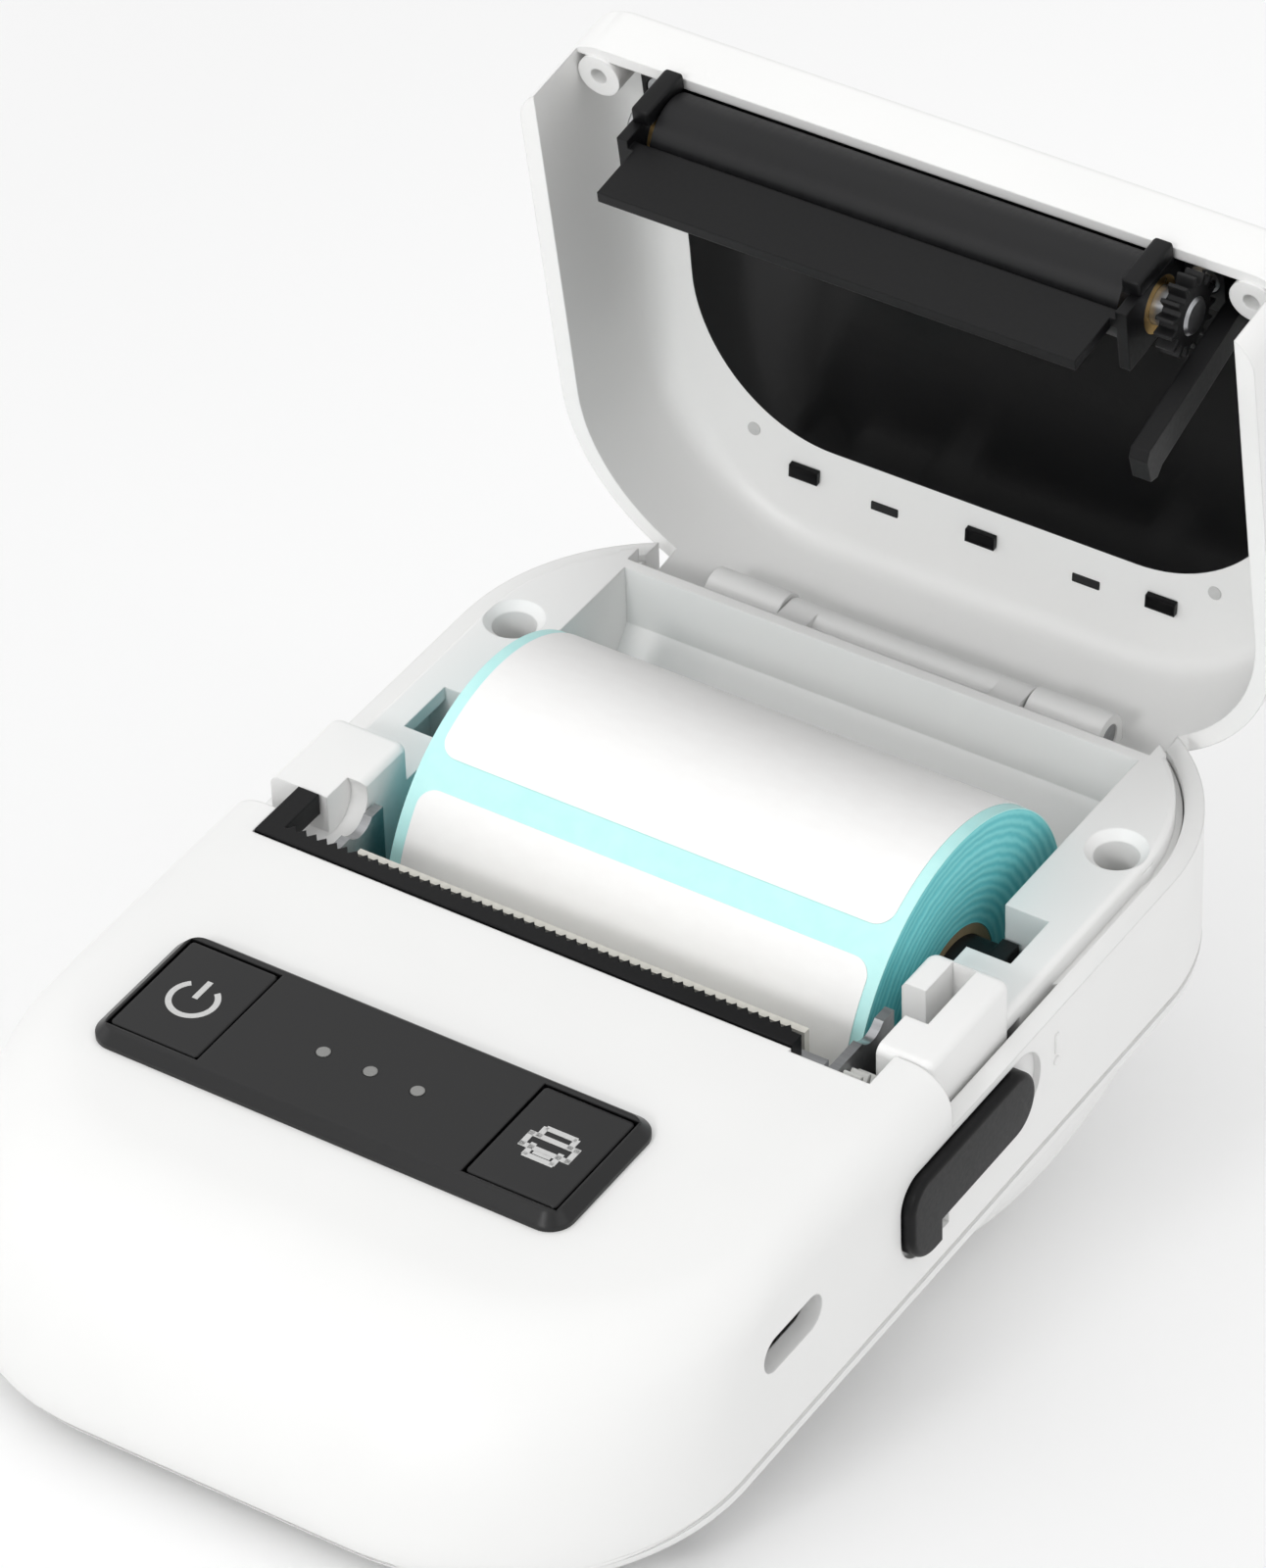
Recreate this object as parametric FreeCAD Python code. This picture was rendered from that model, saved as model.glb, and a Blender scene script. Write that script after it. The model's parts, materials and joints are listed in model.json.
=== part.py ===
"""Portable thermal label printer with its lid open and a roll of labels inside.

Everything is first built in the deck frame: X to the right, Y to the back, Z up from the flat deck,
with Y = 0 at the front edge of the tear bar.  The finished pieces are then tilted together onto the
feet, because the printer rests nose down on its front feet and on the belly under the roll.
The lid is built shut and then swung open about its hinge.
"""
import FreeCAD
import Part
import math
import os

V = FreeCAD.Vector

# ---------------------------------------------------------------- driving dimensions (mm, degrees)
BODY_WIDTH = 82.4
BODY_FRONT = -60.0
BODY_REAR = 68.7
FRONT_CORNER_R = 26.0
REAR_CORNER_R = 23.4
NOSE_R = 18.0
CHIN_R = 7.0
EDGE_R = 4.5
SEAM_Z = -21.5
SLAB_BOTTOM_Z = -25.0
SLAB_EDGE_R = 3.4
RIM_Z = -6.0
WALL = 2.0
SEAM_GROOVE = 0.5

ROLL_Y, ROLL_Z = 28.8, -15.0
ROLL_R = 19.5
LINER_WIDTH = 54.0
CORE_R, CORE_WALL = 6.4, 1.1

BELLY_BOTTOM_Z = -39.0
BELLY_FRONT_Y = 0.4
BELLY_WIDTH = 78.0
BELLY_END_R = 14.0
BELLY_WALL = 1.4

BIN_WIDTH = 60.0
BIN_WALL = 1.3
BIN_REAR_Y = 57.9
BIN_FLOOR_WIDTH = 56.0
BIN_FLOOR_TOP_Z = -20.0
ROLL_CLEARANCE = 0.5
FRAME_WIDTH = 76.8
FRAME_TOP_Z = -4.4
FRAME_REAR_GAP = 3.4
FRAME_PLATE = 2.0
EAR_REAR_Y = 19.0

TEAR_BAR_X = (-35.1, 26.1)
TEAR_BAR_DEPTH = 2.4
TEAR_BAR_Z = (-2.1, 0.3)
TOOTH_PITCH = 1.2

PANEL_X, PANEL_Y = -4.7, -24.65
PANEL_WIDTH, PANEL_DEPTH = 53.3, 17.5
PANEL_PROUD = 1.6
BUTTON_DEPTH = 13.6
BUTTON_WIDTH = 10.0
BUTTON_GAP = 0.25
BUTTON_TRAVEL = 0.6
BUTTON_EDGE = 1.6
LIGHT_PITCH = 5.3

PCB_TOP_Z = -11.4
PCB_THICKNESS = 1.2

HINGE_Y, HINGE_Z = 64.0, -8.8
LID_OPEN_ANGLE = 81.8
LID_FRONT_Y = 4.3
LID_LIP_Z = 1.84
LIP_WALL = 1.3
LID_TOP_Z = 11.5
LID_EDGE_R = 5.0
LID_CORNER_R = 4.6
LID_SKIRT_WIDTH = 59.0
LID_SKIRT_Z = -13.0
WINDOW_SKIN = 1.0
WINDOW_WIDTH = 68.8
WINDOW_REAR_Y = 56.0
LID_SEAT_GAP = 0.15

PLATEN_Y, PLATEN_Z = 8.6, -1.6
PLATEN_R = 4.3
PLATEN_LENGTH = 52.4
SHAFT_R = 2.0
SIDE_PLATE_X = 28.7
SIDE_PLATE_T = 1.0
GEAR_X = 30.2
GEAR_WIDTH = 2.0
GEAR_MODULE = 0.5
IDLER_TEETH, PINION_TEETH, PLATEN_TEETH = 30, 12, 15
IDLER_Y, IDLER_Z = -0.4, -10.3
PLATEN_GEAR_R = 4.2
MOTOR_R, MOTOR_LENGTH = 7.5, 14.0
PINION_BACK = 9.9

ARM_X, ARM_T = 33.0, 2.0
CHEEK_X = (27.3, 28.5)

HEAD_TILT = 1.2
HEAD_SPRING_X = (-16.6, 8.4)
HEAD_PIVOT_Y, HEAD_PIVOT_Z = 2.2, -15.5

GUIDE_PLATE_T = 1.8
GUIDE_TRAVEL = 2.6
GUIDE_TOP_Z = -8.4
GUIDE_WIDTH = 6.4

LEVER_Y = (-5.0, 17.5)
LEVER_Z = (-14.6, -7.3)
LEVER_PROUD = 1.2
LEVER_FOOT = 2.6
LEVER_TRAVEL = 2.4
RECESS = 0.7

USB_Y, USB_Z = -24.2, -9.8
USB_SLOT = (10.0, 4.0)

RUNNING_FIT = 0.05
FOOT_R = 4.5
FOOT_PROUD = 0.6
CHIN_CLEARANCE = 0.5
FRONT_PAD_HEIGHT = 2.6
REAR_PAD_HEIGHT = 1.3
FRONT_FOOT_Y, FRONT_FOOT_X = -46.0, 22.0
REAR_FOOT_X = 20.0

HALF = BODY_WIDTH / 2


# ---------------------------------------------------------------- small helpers
def box(x0, x1, y0, y1, z0, z1):
    """A block between two corners."""
    return Part.makeBox(x1 - x0, y1 - y0, z1 - z0, V(x0, y0, z0))


def rod_x(y, z, r, x0, x1):
    """A round bar along X."""
    return Part.makeCylinder(r, x1 - x0, V(x0, y, z), V(1, 0, 0))


def rod_y(x, z, r, y0, y1):
    """A round bar along Y."""
    return Part.makeCylinder(r, y1 - y0, V(x, y0, z), V(0, 1, 0))


def rod_z(x, y, r, z0, z1):
    """A round bar along Z."""
    return Part.makeCylinder(r, z1 - z0, V(x, y, z0), V(0, 0, 1))


def prism_x(points, x0, x1):
    """A polygon in the YZ plane, drawn out along X."""
    ring = [V(x0, y, z) for y, z in points]
    return Part.Face(Part.makePolygon(ring + ring[:1])).extrude(V(x1 - x0, 0, 0))


def prism_y(points, y0, y1):
    """A polygon in the XZ plane, drawn out along Y."""
    ring = [V(x, y0, z) for x, z in points]
    return Part.Face(Part.makePolygon(ring + ring[:1])).extrude(V(0, y1 - y0, 0))


def mirrored(shape):
    """The same shape on the other side of the middle plane."""
    return shape.mirror(V(0, 0, 0), V(1, 0, 0))


def both_sides(shape):
    """A shape with its mirror image."""
    return [shape, mirrored(shape)]


def fuse(shapes):
    """All the shapes as one, with the seams between them gone."""
    return shapes[0].multiFuse(shapes[1:]).removeSplitter()


def round_edges(shape, radius, wanted):
    """Round the edges whose middle point passes the test."""
    edges = []
    for edge in shape.Edges:
        middle = edge.valueAt((edge.FirstParameter + edge.LastParameter) / 2)
        if wanted(middle, edge):
            edges.append(edge)
    return shape.makeFillet(radius, edges)


def rounded_block(x0, x1, y0, y1, z0, z1, radius):
    """A block with its four upright edges rounded."""
    def upright(_, edge):
        return abs(edge.tangentAt(edge.FirstParameter).z) > 0.99
    return round_edges(box(x0, x1, y0, y1, z0, z1), radius, upright)


def plan_wire(half, front, rear, front_r, rear_r, z):
    """A closed plan outline with rounded front and rear corners."""
    diagonal = math.sqrt(0.5)
    fx, fy = half - front_r, front + front_r
    rx, ry = half - rear_r, rear - rear_r
    fd, rd = front_r * diagonal, rear_r * diagonal
    edges = [
        Part.makeLine(V(-fx, front, z), V(fx, front, z)),
        Part.Arc(V(fx, front, z), V(fx + fd, fy - fd, z), V(half, fy, z)).toShape(),
        Part.makeLine(V(half, fy, z), V(half, ry, z)),
        Part.Arc(V(half, ry, z), V(rx + rd, ry + rd, z), V(rx, rear, z)).toShape(),
        Part.makeLine(V(rx, rear, z), V(-rx, rear, z)),
        Part.Arc(V(-rx, rear, z), V(-rx - rd, ry + rd, z), V(-half, ry, z)).toShape(),
        Part.makeLine(V(-half, ry, z), V(-half, fy, z)),
        Part.Arc(V(-half, fy, z), V(-fx - fd, fy - fd, z), V(-fx, front, z)).toShape(),
    ]
    return Part.Wire(edges)


def plan_prism(inset, z0, z1):
    """The body's plan outline, moved in by inset, between two heights."""
    wire = plan_wire(HALF - inset, BODY_FRONT + inset, BODY_REAR - inset,
                     FRONT_CORNER_R - inset, REAR_CORNER_R - inset, z0)
    return Part.Face(wire).extrude(V(0, 0, z1 - z0))


def drop(radius, depth):
    """How far a rounded edge has moved in, at a depth below its start."""
    return radius - math.sqrt(max(radius ** 2 - depth ** 2, 0.0))


def body_section(z, less=0.0):
    """The housing's outline at one height, with its nose, chin and rounded top edge, made smaller by less."""
    inset = less + (drop(EDGE_R - less, z + EDGE_R) if z > -EDGE_R else 0.0)
    if z > -NOSE_R:
        front = BODY_FRONT + less + drop(NOSE_R - less, z + NOSE_R)
    else:
        front = BODY_FRONT + less + drop(CHIN_R - less, -NOSE_R - z)
    return plan_wire(HALF - inset, front, BODY_REAR - inset, FRONT_CORNER_R - inset,
                     REAR_CORNER_R - inset, z)


def body_form(less):
    """The whole upper body as one solid, made smaller by less for its inside."""
    depths = [0, 0.12, 0.45, 1.0, 1.8, 2.8, 4.0, 5.5, 7.5, 10, 13, 16, 18, 19.7, -SEAM_Z]
    heights = [-less - depth * (-SEAM_Z - less) / -SEAM_Z for depth in depths]
    return Part.makeLoft([body_section(z, less) for z in heights], True, False)


def slab_section(z):
    """The lower housing's outline at one height, with its rounded bottom edge."""
    depth = SLAB_BOTTOM_Z + SLAB_EDGE_R - z
    inset = drop(SLAB_EDGE_R, depth) if depth > 0 else 0.0
    front = max(BODY_FRONT + drop(CHIN_R, -NOSE_R - z), BODY_FRONT + inset)
    return plan_wire(HALF - inset, front, BODY_REAR - inset, FRONT_CORNER_R - inset,
                     REAR_CORNER_R - inset, z)


def gear(teeth, outer_r, width, x, centre, bore, turned=0.0):
    """A spur gear across X with straight-sided teeth."""
    root_r = GEAR_MODULE * (teeth / 2 - 1.25)
    step = 2 * math.pi / teeth
    points = []
    for index in range(teeth):
        middle = index * step + turned
        for radius, share in ((root_r, -0.29), (outer_r, -0.10), (outer_r, 0.10), (root_r, 0.29)):
            angle = middle + share * step
            points.append((centre[0] + radius * math.cos(angle), centre[1] + radius * math.sin(angle)))
    blank = prism_x(points, x, x + width)
    return blank.cut(rod_x(centre[0], centre[1], bore, x - 1, x + width + 1))


def screw(x, y, head_z, head_r, shank_r, length, head_height=1.4, up=False):
    """A cross-head screw, its head at head_z and its shank pointing down, or up."""
    sign = 1 if up else -1
    head = Part.makeCylinder(head_r, head_height, V(x, y, head_z), V(0, 0, sign))
    shank = Part.makeCylinder(shank_r, length, V(x, y, head_z + sign * head_height), V(0, 0, sign))
    slot_w, slot_d = head_r * 0.3, head_height * 0.5
    slot_z = min(head_z, head_z + sign * slot_d)
    body = head.fuse(shank)
    for wide, deep in ((head_r * 0.75, slot_w / 2), (slot_w / 2, head_r * 0.75)):
        body = body.cut(box(x - wide, x + wide, y - deep, y + deep, slot_z, slot_z + slot_d))
    return body


# ---------------------------------------------------------------- housings
def belly(radius_less, half_less, z_top):
    """The drum under the roll, seen from the seam down, made smaller for its inside."""
    half_chord = ROLL_Y - BELLY_FRONT_Y
    rise = (half_chord ** 2 + SEAM_Z ** 2 - BELLY_BOTTOM_Z ** 2) / (2 * (SEAM_Z - BELLY_BOTTOM_Z))
    radius = -rise - BELLY_BOTTOM_Z - radius_less
    half = BELLY_WIDTH / 2 - half_less
    drum = rod_x(ROLL_Y, -rise, radius, -half, half)
    drum = drum.makeFillet(BELLY_END_R - half_less, [e for e in drum.Edges if e.Closed])
    return drum.common(box(-HALF, HALF, -20, 90, -60, z_top))


def belly_circle():
    """Centre height and radius of the belly's round underside."""
    half_chord = ROLL_Y - BELLY_FRONT_Y
    rise = (half_chord ** 2 + SEAM_Z ** 2 - BELLY_BOTTOM_Z ** 2) / (2 * (SEAM_Z - BELLY_BOTTOM_Z))
    return -rise, -rise - BELLY_BOTTOM_Z


BOSS_X, BOSS_Y = 36.3, -36.0
FRAME_SCREW_X, FRAME_SCREW_Y = 35.0, 45.1
DECK_REAR_Y = LID_FRONT_Y - 0.3


def lever_outline(grow, stretch):
    """The lever's side outline as a solid bar: a rounded bar with a foot at its front end."""
    y0, y1 = LEVER_Y[0] - grow, LEVER_Y[1] + grow + stretch
    z0, z1 = LEVER_Z[0] - grow, LEVER_Z[1] + grow
    high = (z1 - z0) / 2
    low, heel, brow = z0 - LEVER_FOOT, 4.0, 3.0
    x0, x1 = HALF - 3, HALF + 5
    foot_rear = y0 + 5.6 + 2 * grow + stretch
    return fuse([box(x0, x1, y0 + brow, y1 - high, z0, z1),
                 rod_x(y1 - high, z0 + high, high, x0, x1),
                 box(x0, x1, y0 + heel, foot_rear, low, z1 - 1.5),
                 box(x0, x1, y0, y0 + heel + 0.5, low + heel, z1 - brow),
                 rod_x(y0 + heel, low + heel, heel, x0, x1).common(box(x0, x1, y0, y0 + heel, low, low + heel)),
                 rod_x(y0 + brow, z1 - brow, brow, x0, x1)])


def upper_housing():
    """White top casing: deck, nose and side walls."""
    outer = body_form(0)
    shell = outer.cut(body_form(WALL))
    shell = shell.cut(box(-50, 50, DECK_REAR_Y, 80, RIM_Z - LID_SEAT_GAP, 5))
    skirt_half = LID_SKIRT_WIDTH / 2 + 1.0
    shell = shell.cut(box(-skirt_half, skirt_half, HINGE_Y - 6, BODY_REAR + 2, LID_SKIRT_Z - 1.8, 0))
    shell = shell.cut(box(TEAR_BAR_X[0] - 0.2, TEAR_BAR_X[1] + 0.2, -0.15, 6, -5, 5))
    shell = shell.cut(box(TEAR_BAR_X[1], ARM_X + ARM_T, -0.6, 6, -5, 5))
    shell = shell.cut(box(-BIN_WIDTH / 2 - 2, BIN_WIDTH / 2 + 2, 1, 6, -5, 5))
    groove = plan_prism(-5, SEAM_Z - 0.1, SEAM_Z + 0.6).cut(plan_prism(SEAM_GROOVE, SEAM_Z - 1, SEAM_Z + 1))
    front_line = BODY_FRONT + drop(CHIN_R, -NOSE_R - SEAM_Z) + SEAM_GROOVE
    groove = groove.fuse(box(-HALF, HALF, BODY_FRONT - 2, front_line, SEAM_Z - 0.1, SEAM_Z + 0.6))
    shell = shell.cut(groove)
    shell = shell.cut(panel_opening())
    usb_half = (USB_SLOT[0] - USB_SLOT[1]) / 2
    slot = fuse([rod_x(USB_Y + s * usb_half, USB_Z, USB_SLOT[1] / 2, HALF - 3, HALF + 1) for s in (-1, 1)]
                + [box(HALF - 3, HALF + 1, USB_Y - usb_half, USB_Y + usb_half,
                       USB_Z - USB_SLOT[1] / 2, USB_Z + USB_SLOT[1] / 2)])
    shell = shell.cut(slot)
    recess = lever_outline(0.3, LEVER_TRAVEL).common(box(HALF - RECESS, HALF + 5, -30, 60, -30, 0))
    shell = shell.cut(recess)
    shell = shell.cut(box(HALF - 4, HALF + 1, 3.7, 9.3 + LEVER_TRAVEL, -12.8, -9.7))
    bosses = []
    for post in both_sides(rod_z(BOSS_X, BOSS_Y, 2.7, SEAM_Z + 0.1, -WALL + 0.5)):
        bosses.append(post)
    for x, y in PCB_SCREWS:
        bosses.append(rod_z(x, y, 1.9, PCB_TOP_Z, -WALL + 0.5))
    shell = fuse([shell] + [post.common(outer) for post in bosses]).cut(recess)
    for post in both_sides(rod_z(BOSS_X, BOSS_Y, 1.0, SEAM_Z, SEAM_Z + 9)):
        shell = shell.cut(post)
    for x, y in PCB_SCREWS:
        shell = shell.cut(rod_z(x, y, 0.7, PCB_TOP_Z, PCB_TOP_Z + 5))
    return shell


def lower_housing():
    """White bottom casing with the round belly under the paper roll."""
    heights = [SEAM_Z, -22.4, -23.3, -24.1, -24.7, -24.95, SLAB_BOTTOM_Z]
    slab = Part.makeLoft([slab_section(z) for z in heights], True, False)
    outer = fuse([slab, belly(0, 0, SEAM_Z)])
    inner = fuse([plan_prism(WALL + 0.4, SLAB_BOTTOM_Z + WALL, SEAM_Z + 1)
                  .cut(box(-HALF, HALF, -80, BODY_FRONT + 5.0, -40, 0)),
                  belly(BELLY_WALL, BELLY_WALL + 0.1, SEAM_Z + 1)])
    shell = outer.cut(inner)
    posts = [rod_z(x, FRAME_SCREW_Y, 2.6, -45, -20.05) for x in (-FRAME_SCREW_X, FRAME_SCREW_X)]
    posts += [rod_z(x, BOSS_Y, 2.7, SLAB_BOTTOM_Z + 0.5, SEAM_Z) for x in (-BOSS_X, BOSS_X)]
    limit = fuse([outer, plan_prism(WALL + 0.5, SEAM_Z - 0.1, -20.05)])
    shell = fuse([shell] + [post.common(limit) for post in posts])
    for x in (-FRAME_SCREW_X, FRAME_SCREW_X):
        shell = shell.cut(rod_z(x, FRAME_SCREW_Y, 1.1, -22.6, -20))
    for x in (-BOSS_X, BOSS_X):
        shell = shell.cut(rod_z(x, BOSS_Y, 1.2, -30, SEAM_Z + 1))
        shell = shell.cut(rod_z(x, BOSS_Y, 2.1, -30, SLAB_BOTTOM_Z + 1.6))
    return shell


def bin_section(grow, top):
    """The paper bin's side outline, made larger by grow for its outside."""
    arc_r = ROLL_R + ROLL_CLEARANCE + grow
    front = LID_FRONT_Y + 0.1
    ledge_z = -17.2 - grow
    start_y = ROLL_Y - math.sqrt(arc_r ** 2 - (ledge_z - ROLL_Z) ** 2)
    leave = math.radians(-40)
    end = (ROLL_Y + arc_r * math.cos(leave), ROLL_Z + arc_r * math.sin(leave))
    rear = BIN_REAR_Y + grow
    rise = (rear - end[0]) * math.cos(leave) / -math.sin(leave)
    steps = [V(0, front, top), V(0, front, ledge_z), V(0, start_y, ledge_z)]
    edges = [Part.makeLine(steps[0], steps[1]), Part.makeLine(steps[1], steps[2])]
    low = V(0, ROLL_Y, ROLL_Z - arc_r)
    corner = V(0, rear, end[1] + rise)
    edges.append(Part.Arc(steps[2], low, V(0, end[0], end[1])).toShape())
    edges.append(Part.makeLine(V(0, end[0], end[1]), corner))
    edges.append(Part.makeLine(corner, V(0, rear, top)))
    edges.append(Part.makeLine(V(0, rear, top), steps[0]))
    return Part.Face(Part.Wire(edges))


def bin_solid(grow, top):
    """The space of the paper bin, wide at the top and narrower round the roll's underside."""
    section = bin_section(grow, top)
    wide, narrow = BIN_WIDTH / 2 + grow, BIN_FLOOR_WIDTH / 2 + grow
    whole = section.extrude(V(2 * wide, 0, 0))
    whole.translate(V(-wide, 0, 0))
    upper = whole.common(box(-50, 50, -10, 80, BIN_FLOOR_TOP_Z - grow, top + 1))
    lower = whole.common(box(-narrow, narrow, -10, 80, -60, top + 1))
    return fuse([upper, lower])


def guide_pocket(side, grow):
    """The slot in the side strip that one roll guide slides in."""
    half = GUIDE_WIDTH / 2 + 0.4 + grow
    inside = BIN_WIDTH / 2
    outside = inside + GUIDE_PLATE_T + GUIDE_TRAVEL + 0.5
    low = box(inside - grow, outside + 2.1 + grow, ROLL_Y - half, ROLL_Y + half, -21.0 - grow, FRAME_TOP_Z - 1.6)
    mouth = box(inside - grow, outside + grow, ROLL_Y - half, ROLL_Y + half, -10, FRAME_TOP_Z)
    pocket = fuse([low, mouth])
    return pocket if side > 0 else mirrored(pocket)


def inner_frame():
    """White inner moulding: paper bin, side strips, corner blocks and the hinge trough."""
    half = FRAME_WIDTH / 2
    wire = plan_wire(half, DECK_REAR_Y + 0.1, BODY_REAR - FRAME_REAR_GAP, 1.0, 20.0, FRAME_TOP_Z - FRAME_PLATE)
    plate = Part.Face(wire).extrude(V(0, 0, FRAME_PLATE))
    plate = round_edges(plate, 0.7, lambda m, e: m.z > FRAME_TOP_Z - 0.01 and m.y > 22)
    wire = plan_wire(half, DECK_REAR_Y + 0.1, BODY_REAR - FRAME_REAR_GAP, 1.0, 20.0, -9.5)
    skirt = Part.Face(wire).extrude(V(0, 0, 3.5))
    wire = plan_wire(half - 1.4, DECK_REAR_Y - 3, BODY_REAR - FRAME_REAR_GAP - 1.4, 1.0, 18.6, -11)
    skirt = skirt.cut(Part.Face(wire).extrude(V(0, 0, 6)))
    skirt = skirt.cut(box(-50, 50, -5, EAR_REAR_Y + 2, -11, -3))
    wire = plan_wire(HALF - WALL - 0.15, EAR_REAR_Y + 8.0, BODY_REAR - WALL - 0.15, 1.0, REAR_CORNER_R - WALL - 0.15, -7.8)
    wire_in = plan_wire(half - 1.4, EAR_REAR_Y, BODY_REAR - FRAME_REAR_GAP - 1.4, 1.0, 18.6, -8.8)
    flange = Part.Face(wire).extrude(V(0, 0, 1.0)).cut(Part.Face(wire_in).extrude(V(0, 0, 4)))
    trough_half = LID_SKIRT_WIDTH / 2 + 1.0
    trough = box(-trough_half - 1.4, trough_half + 1.4, BIN_REAR_Y, BODY_REAR - FRAME_REAR_GAP,
                 HINGE_Z - 8.1, FRAME_TOP_Z)
    outline = plan_wire(half, 0, BODY_REAR - FRAME_REAR_GAP, 1.0, 20.0, -40)
    trough = trough.common(Part.Face(outline).extrude(V(0, 0, 50)))
    parts = [plate, skirt, flange, bin_solid(BIN_WALL, FRAME_TOP_Z), trough]
    parts += [guide_pocket(side, 1.0).common(box(-half, half, 0, 60, -30, FRAME_TOP_Z)) for side in (-1, 1)]
    ear = rounded_block(29.9, 38.7, DECK_REAR_Y + 0.1, EAR_REAR_Y, -9.0, 0.0, 1.2)
    ear = round_edges(ear, 1.0, lambda m, e: m.z > -0.01)
    left_ear = mirrored(ear).cut(box(-40, -29, 0, 7.8, -10, 1))
    parts += [ear, left_ear]
    parts += [rod_z(x, FRAME_SCREW_Y, 3.6, -20.0, FRAME_TOP_Z - 1) for x in (-FRAME_SCREW_X, FRAME_SCREW_X)]
    parts += both_sides(rod_x(ROLL_Y, ROLL_Z, CORE_R + 1.4, BIN_WIDTH / 2, 33.1))
    frame = fuse(parts)
    frame = frame.cut(bin_solid(0, 3))
    frame = frame.cut(box(-BIN_WIDTH / 2, BIN_WIDTH / 2, 0, LID_FRONT_Y + 1, -17.2, 5))
    for hole in both_sides(rod_x(ROLL_Y, ROLL_Z, CORE_R + 0.2, BIN_FLOOR_WIDTH / 2 - 0.5, 32.8)):
        frame = frame.cut(hole)
    for side in (-1, 1):
        frame = frame.cut(guide_pocket(side, 0))
    frame = frame.cut(box(-trough_half, trough_half, BIN_REAR_Y + BIN_WALL, BODY_REAR + 2, HINGE_Z - 6.8, 5))
    gear_space = box(29.5, GEAR_X + GEAR_WIDTH + 0.6, -12, PLATEN_Y + PLATEN_GEAR_R + 0.5, -22, 5)
    frame = frame.cut(gear_space)
    frame = frame.cut(box(ARM_X - 0.3, ARM_X + ARM_T + 0.3, 9.4, 18.2, -25, 5))
    frame = frame.cut(rod_x(PLATEN_Y, PLATEN_Z, SHAFT_R + 1.2, -32, -29))
    for x in (-FRAME_SCREW_X, FRAME_SCREW_X):
        frame = frame.cut(rod_z(x, FRAME_SCREW_Y, 2.3, -17.9, 0))
        frame = frame.cut(rod_z(x, FRAME_SCREW_Y, 1.2, -21, -17))
        frame = frame.cut(Part.makeCone(2.3, 3.2, 0.9, V(x, FRAME_SCREW_Y, FRAME_TOP_Z - 0.9)))
    lugs = []
    for side in (-1, 1):
        x0 = 10.6 if side > 0 else -14.2
        lug = fuse([box(x0, x0 + 3.6, BIN_REAR_Y + 0.2, HINGE_Y, HINGE_Z - 2.3, HINGE_Z + 2.3),
                    rod_x(HINGE_Y, HINGE_Z, 2.3, x0, x0 + 3.6)])
        lugs.append(lug.cut(rod_x(HINGE_Y, HINGE_Z, 1.5, x0 - 1, x0 + 5)))
    sleeve = rod_x(HINGE_Y, HINGE_Z, 2.3, -10.8, 10.8).cut(rod_x(HINGE_Y, HINGE_Z, 1.5, -11, 11))
    return fuse([frame, sleeve] + lugs)


# ---------------------------------------------------------------- front panel and electronics
def panel_opening():
    """The hole in the deck that the panel's body drops into."""
    hx, hy = PANEL_WIDTH / 2 - 1.0, PANEL_DEPTH / 2 - 1.0
    return rounded_block(PANEL_X - hx, PANEL_X + hx, PANEL_Y - hy, PANEL_Y + hy, -WALL - 1, 1, 1.5)


def button_centres():
    """X of the power button and of the feed button."""
    reach = PANEL_WIDTH / 2 - BUTTON_EDGE - BUTTON_WIDTH / 2
    return PANEL_X - reach, PANEL_X + reach


def panel_bezel():
    """Black panel with bevelled edges, two button openings and three light holes."""
    hx, hy = PANEL_WIDTH / 2, PANEL_DEPTH / 2
    cover = rounded_block(PANEL_X - hx, PANEL_X + hx, PANEL_Y - hy, PANEL_Y + hy, 0, PANEL_PROUD, 2.6)
    top_edges = [e for e in cover.Edges if all(v.Z > PANEL_PROUD - 0.01 for v in e.Vertexes)]
    cover = cover.makeChamfer(1.1, top_edges)
    body = rounded_block(PANEL_X - hx + 1.15, PANEL_X + hx - 1.15, PANEL_Y - hy + 1.15, PANEL_Y + hy - 1.15,
                         -2.4, 0.1, 1.4)
    panel = fuse([cover, body])
    for x in button_centres():
        wide, deep = BUTTON_WIDTH / 2 + BUTTON_GAP, BUTTON_DEPTH / 2 + BUTTON_GAP
        panel = panel.cut(box(x - wide, x + wide, PANEL_Y - deep, PANEL_Y + deep, -5, 5))
    for x in light_places():
        panel = panel.cut(rod_z(x, PANEL_Y, 0.7, -5, 5))
    return panel


def light_places():
    """X of the three indicator lights."""
    return [PANEL_X + step * LIGHT_PITCH for step in (-1, 0, 1)]


def panel_button(x):
    """A square key with the stem that presses its switch."""
    wide, deep = BUTTON_WIDTH / 2, BUTTON_DEPTH / 2
    cap = rounded_block(x - wide, x + wide, PANEL_Y - deep, PANEL_Y + deep, -0.9, PANEL_PROUD, 0.5)
    cap = round_edges(cap, 0.25, lambda m, e: m.z > PANEL_PROUD - 0.01)
    return fuse([cap, rod_z(x, PANEL_Y, 1.6, PCB_TOP_Z + 5.0 + BUTTON_TRAVEL + 0.2, -0.5)])


def tact_switch(x):
    """A square push switch on the board."""
    base = box(x - 3, x + 3, PANEL_Y - 3, PANEL_Y + 3, PCB_TOP_Z, PCB_TOP_Z + 3.5)
    return fuse([base, rod_z(x, PANEL_Y, 1.7, PCB_TOP_Z + 3, PCB_TOP_Z + 5)])


def indicator_lights():
    """Three clear light pipes from the board up to the panel's face."""
    return Part.makeCompound([rod_z(x, PANEL_Y, 0.7, PCB_TOP_Z + 1.1, PANEL_PROUD + 0.05) for x in light_places()])


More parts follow.
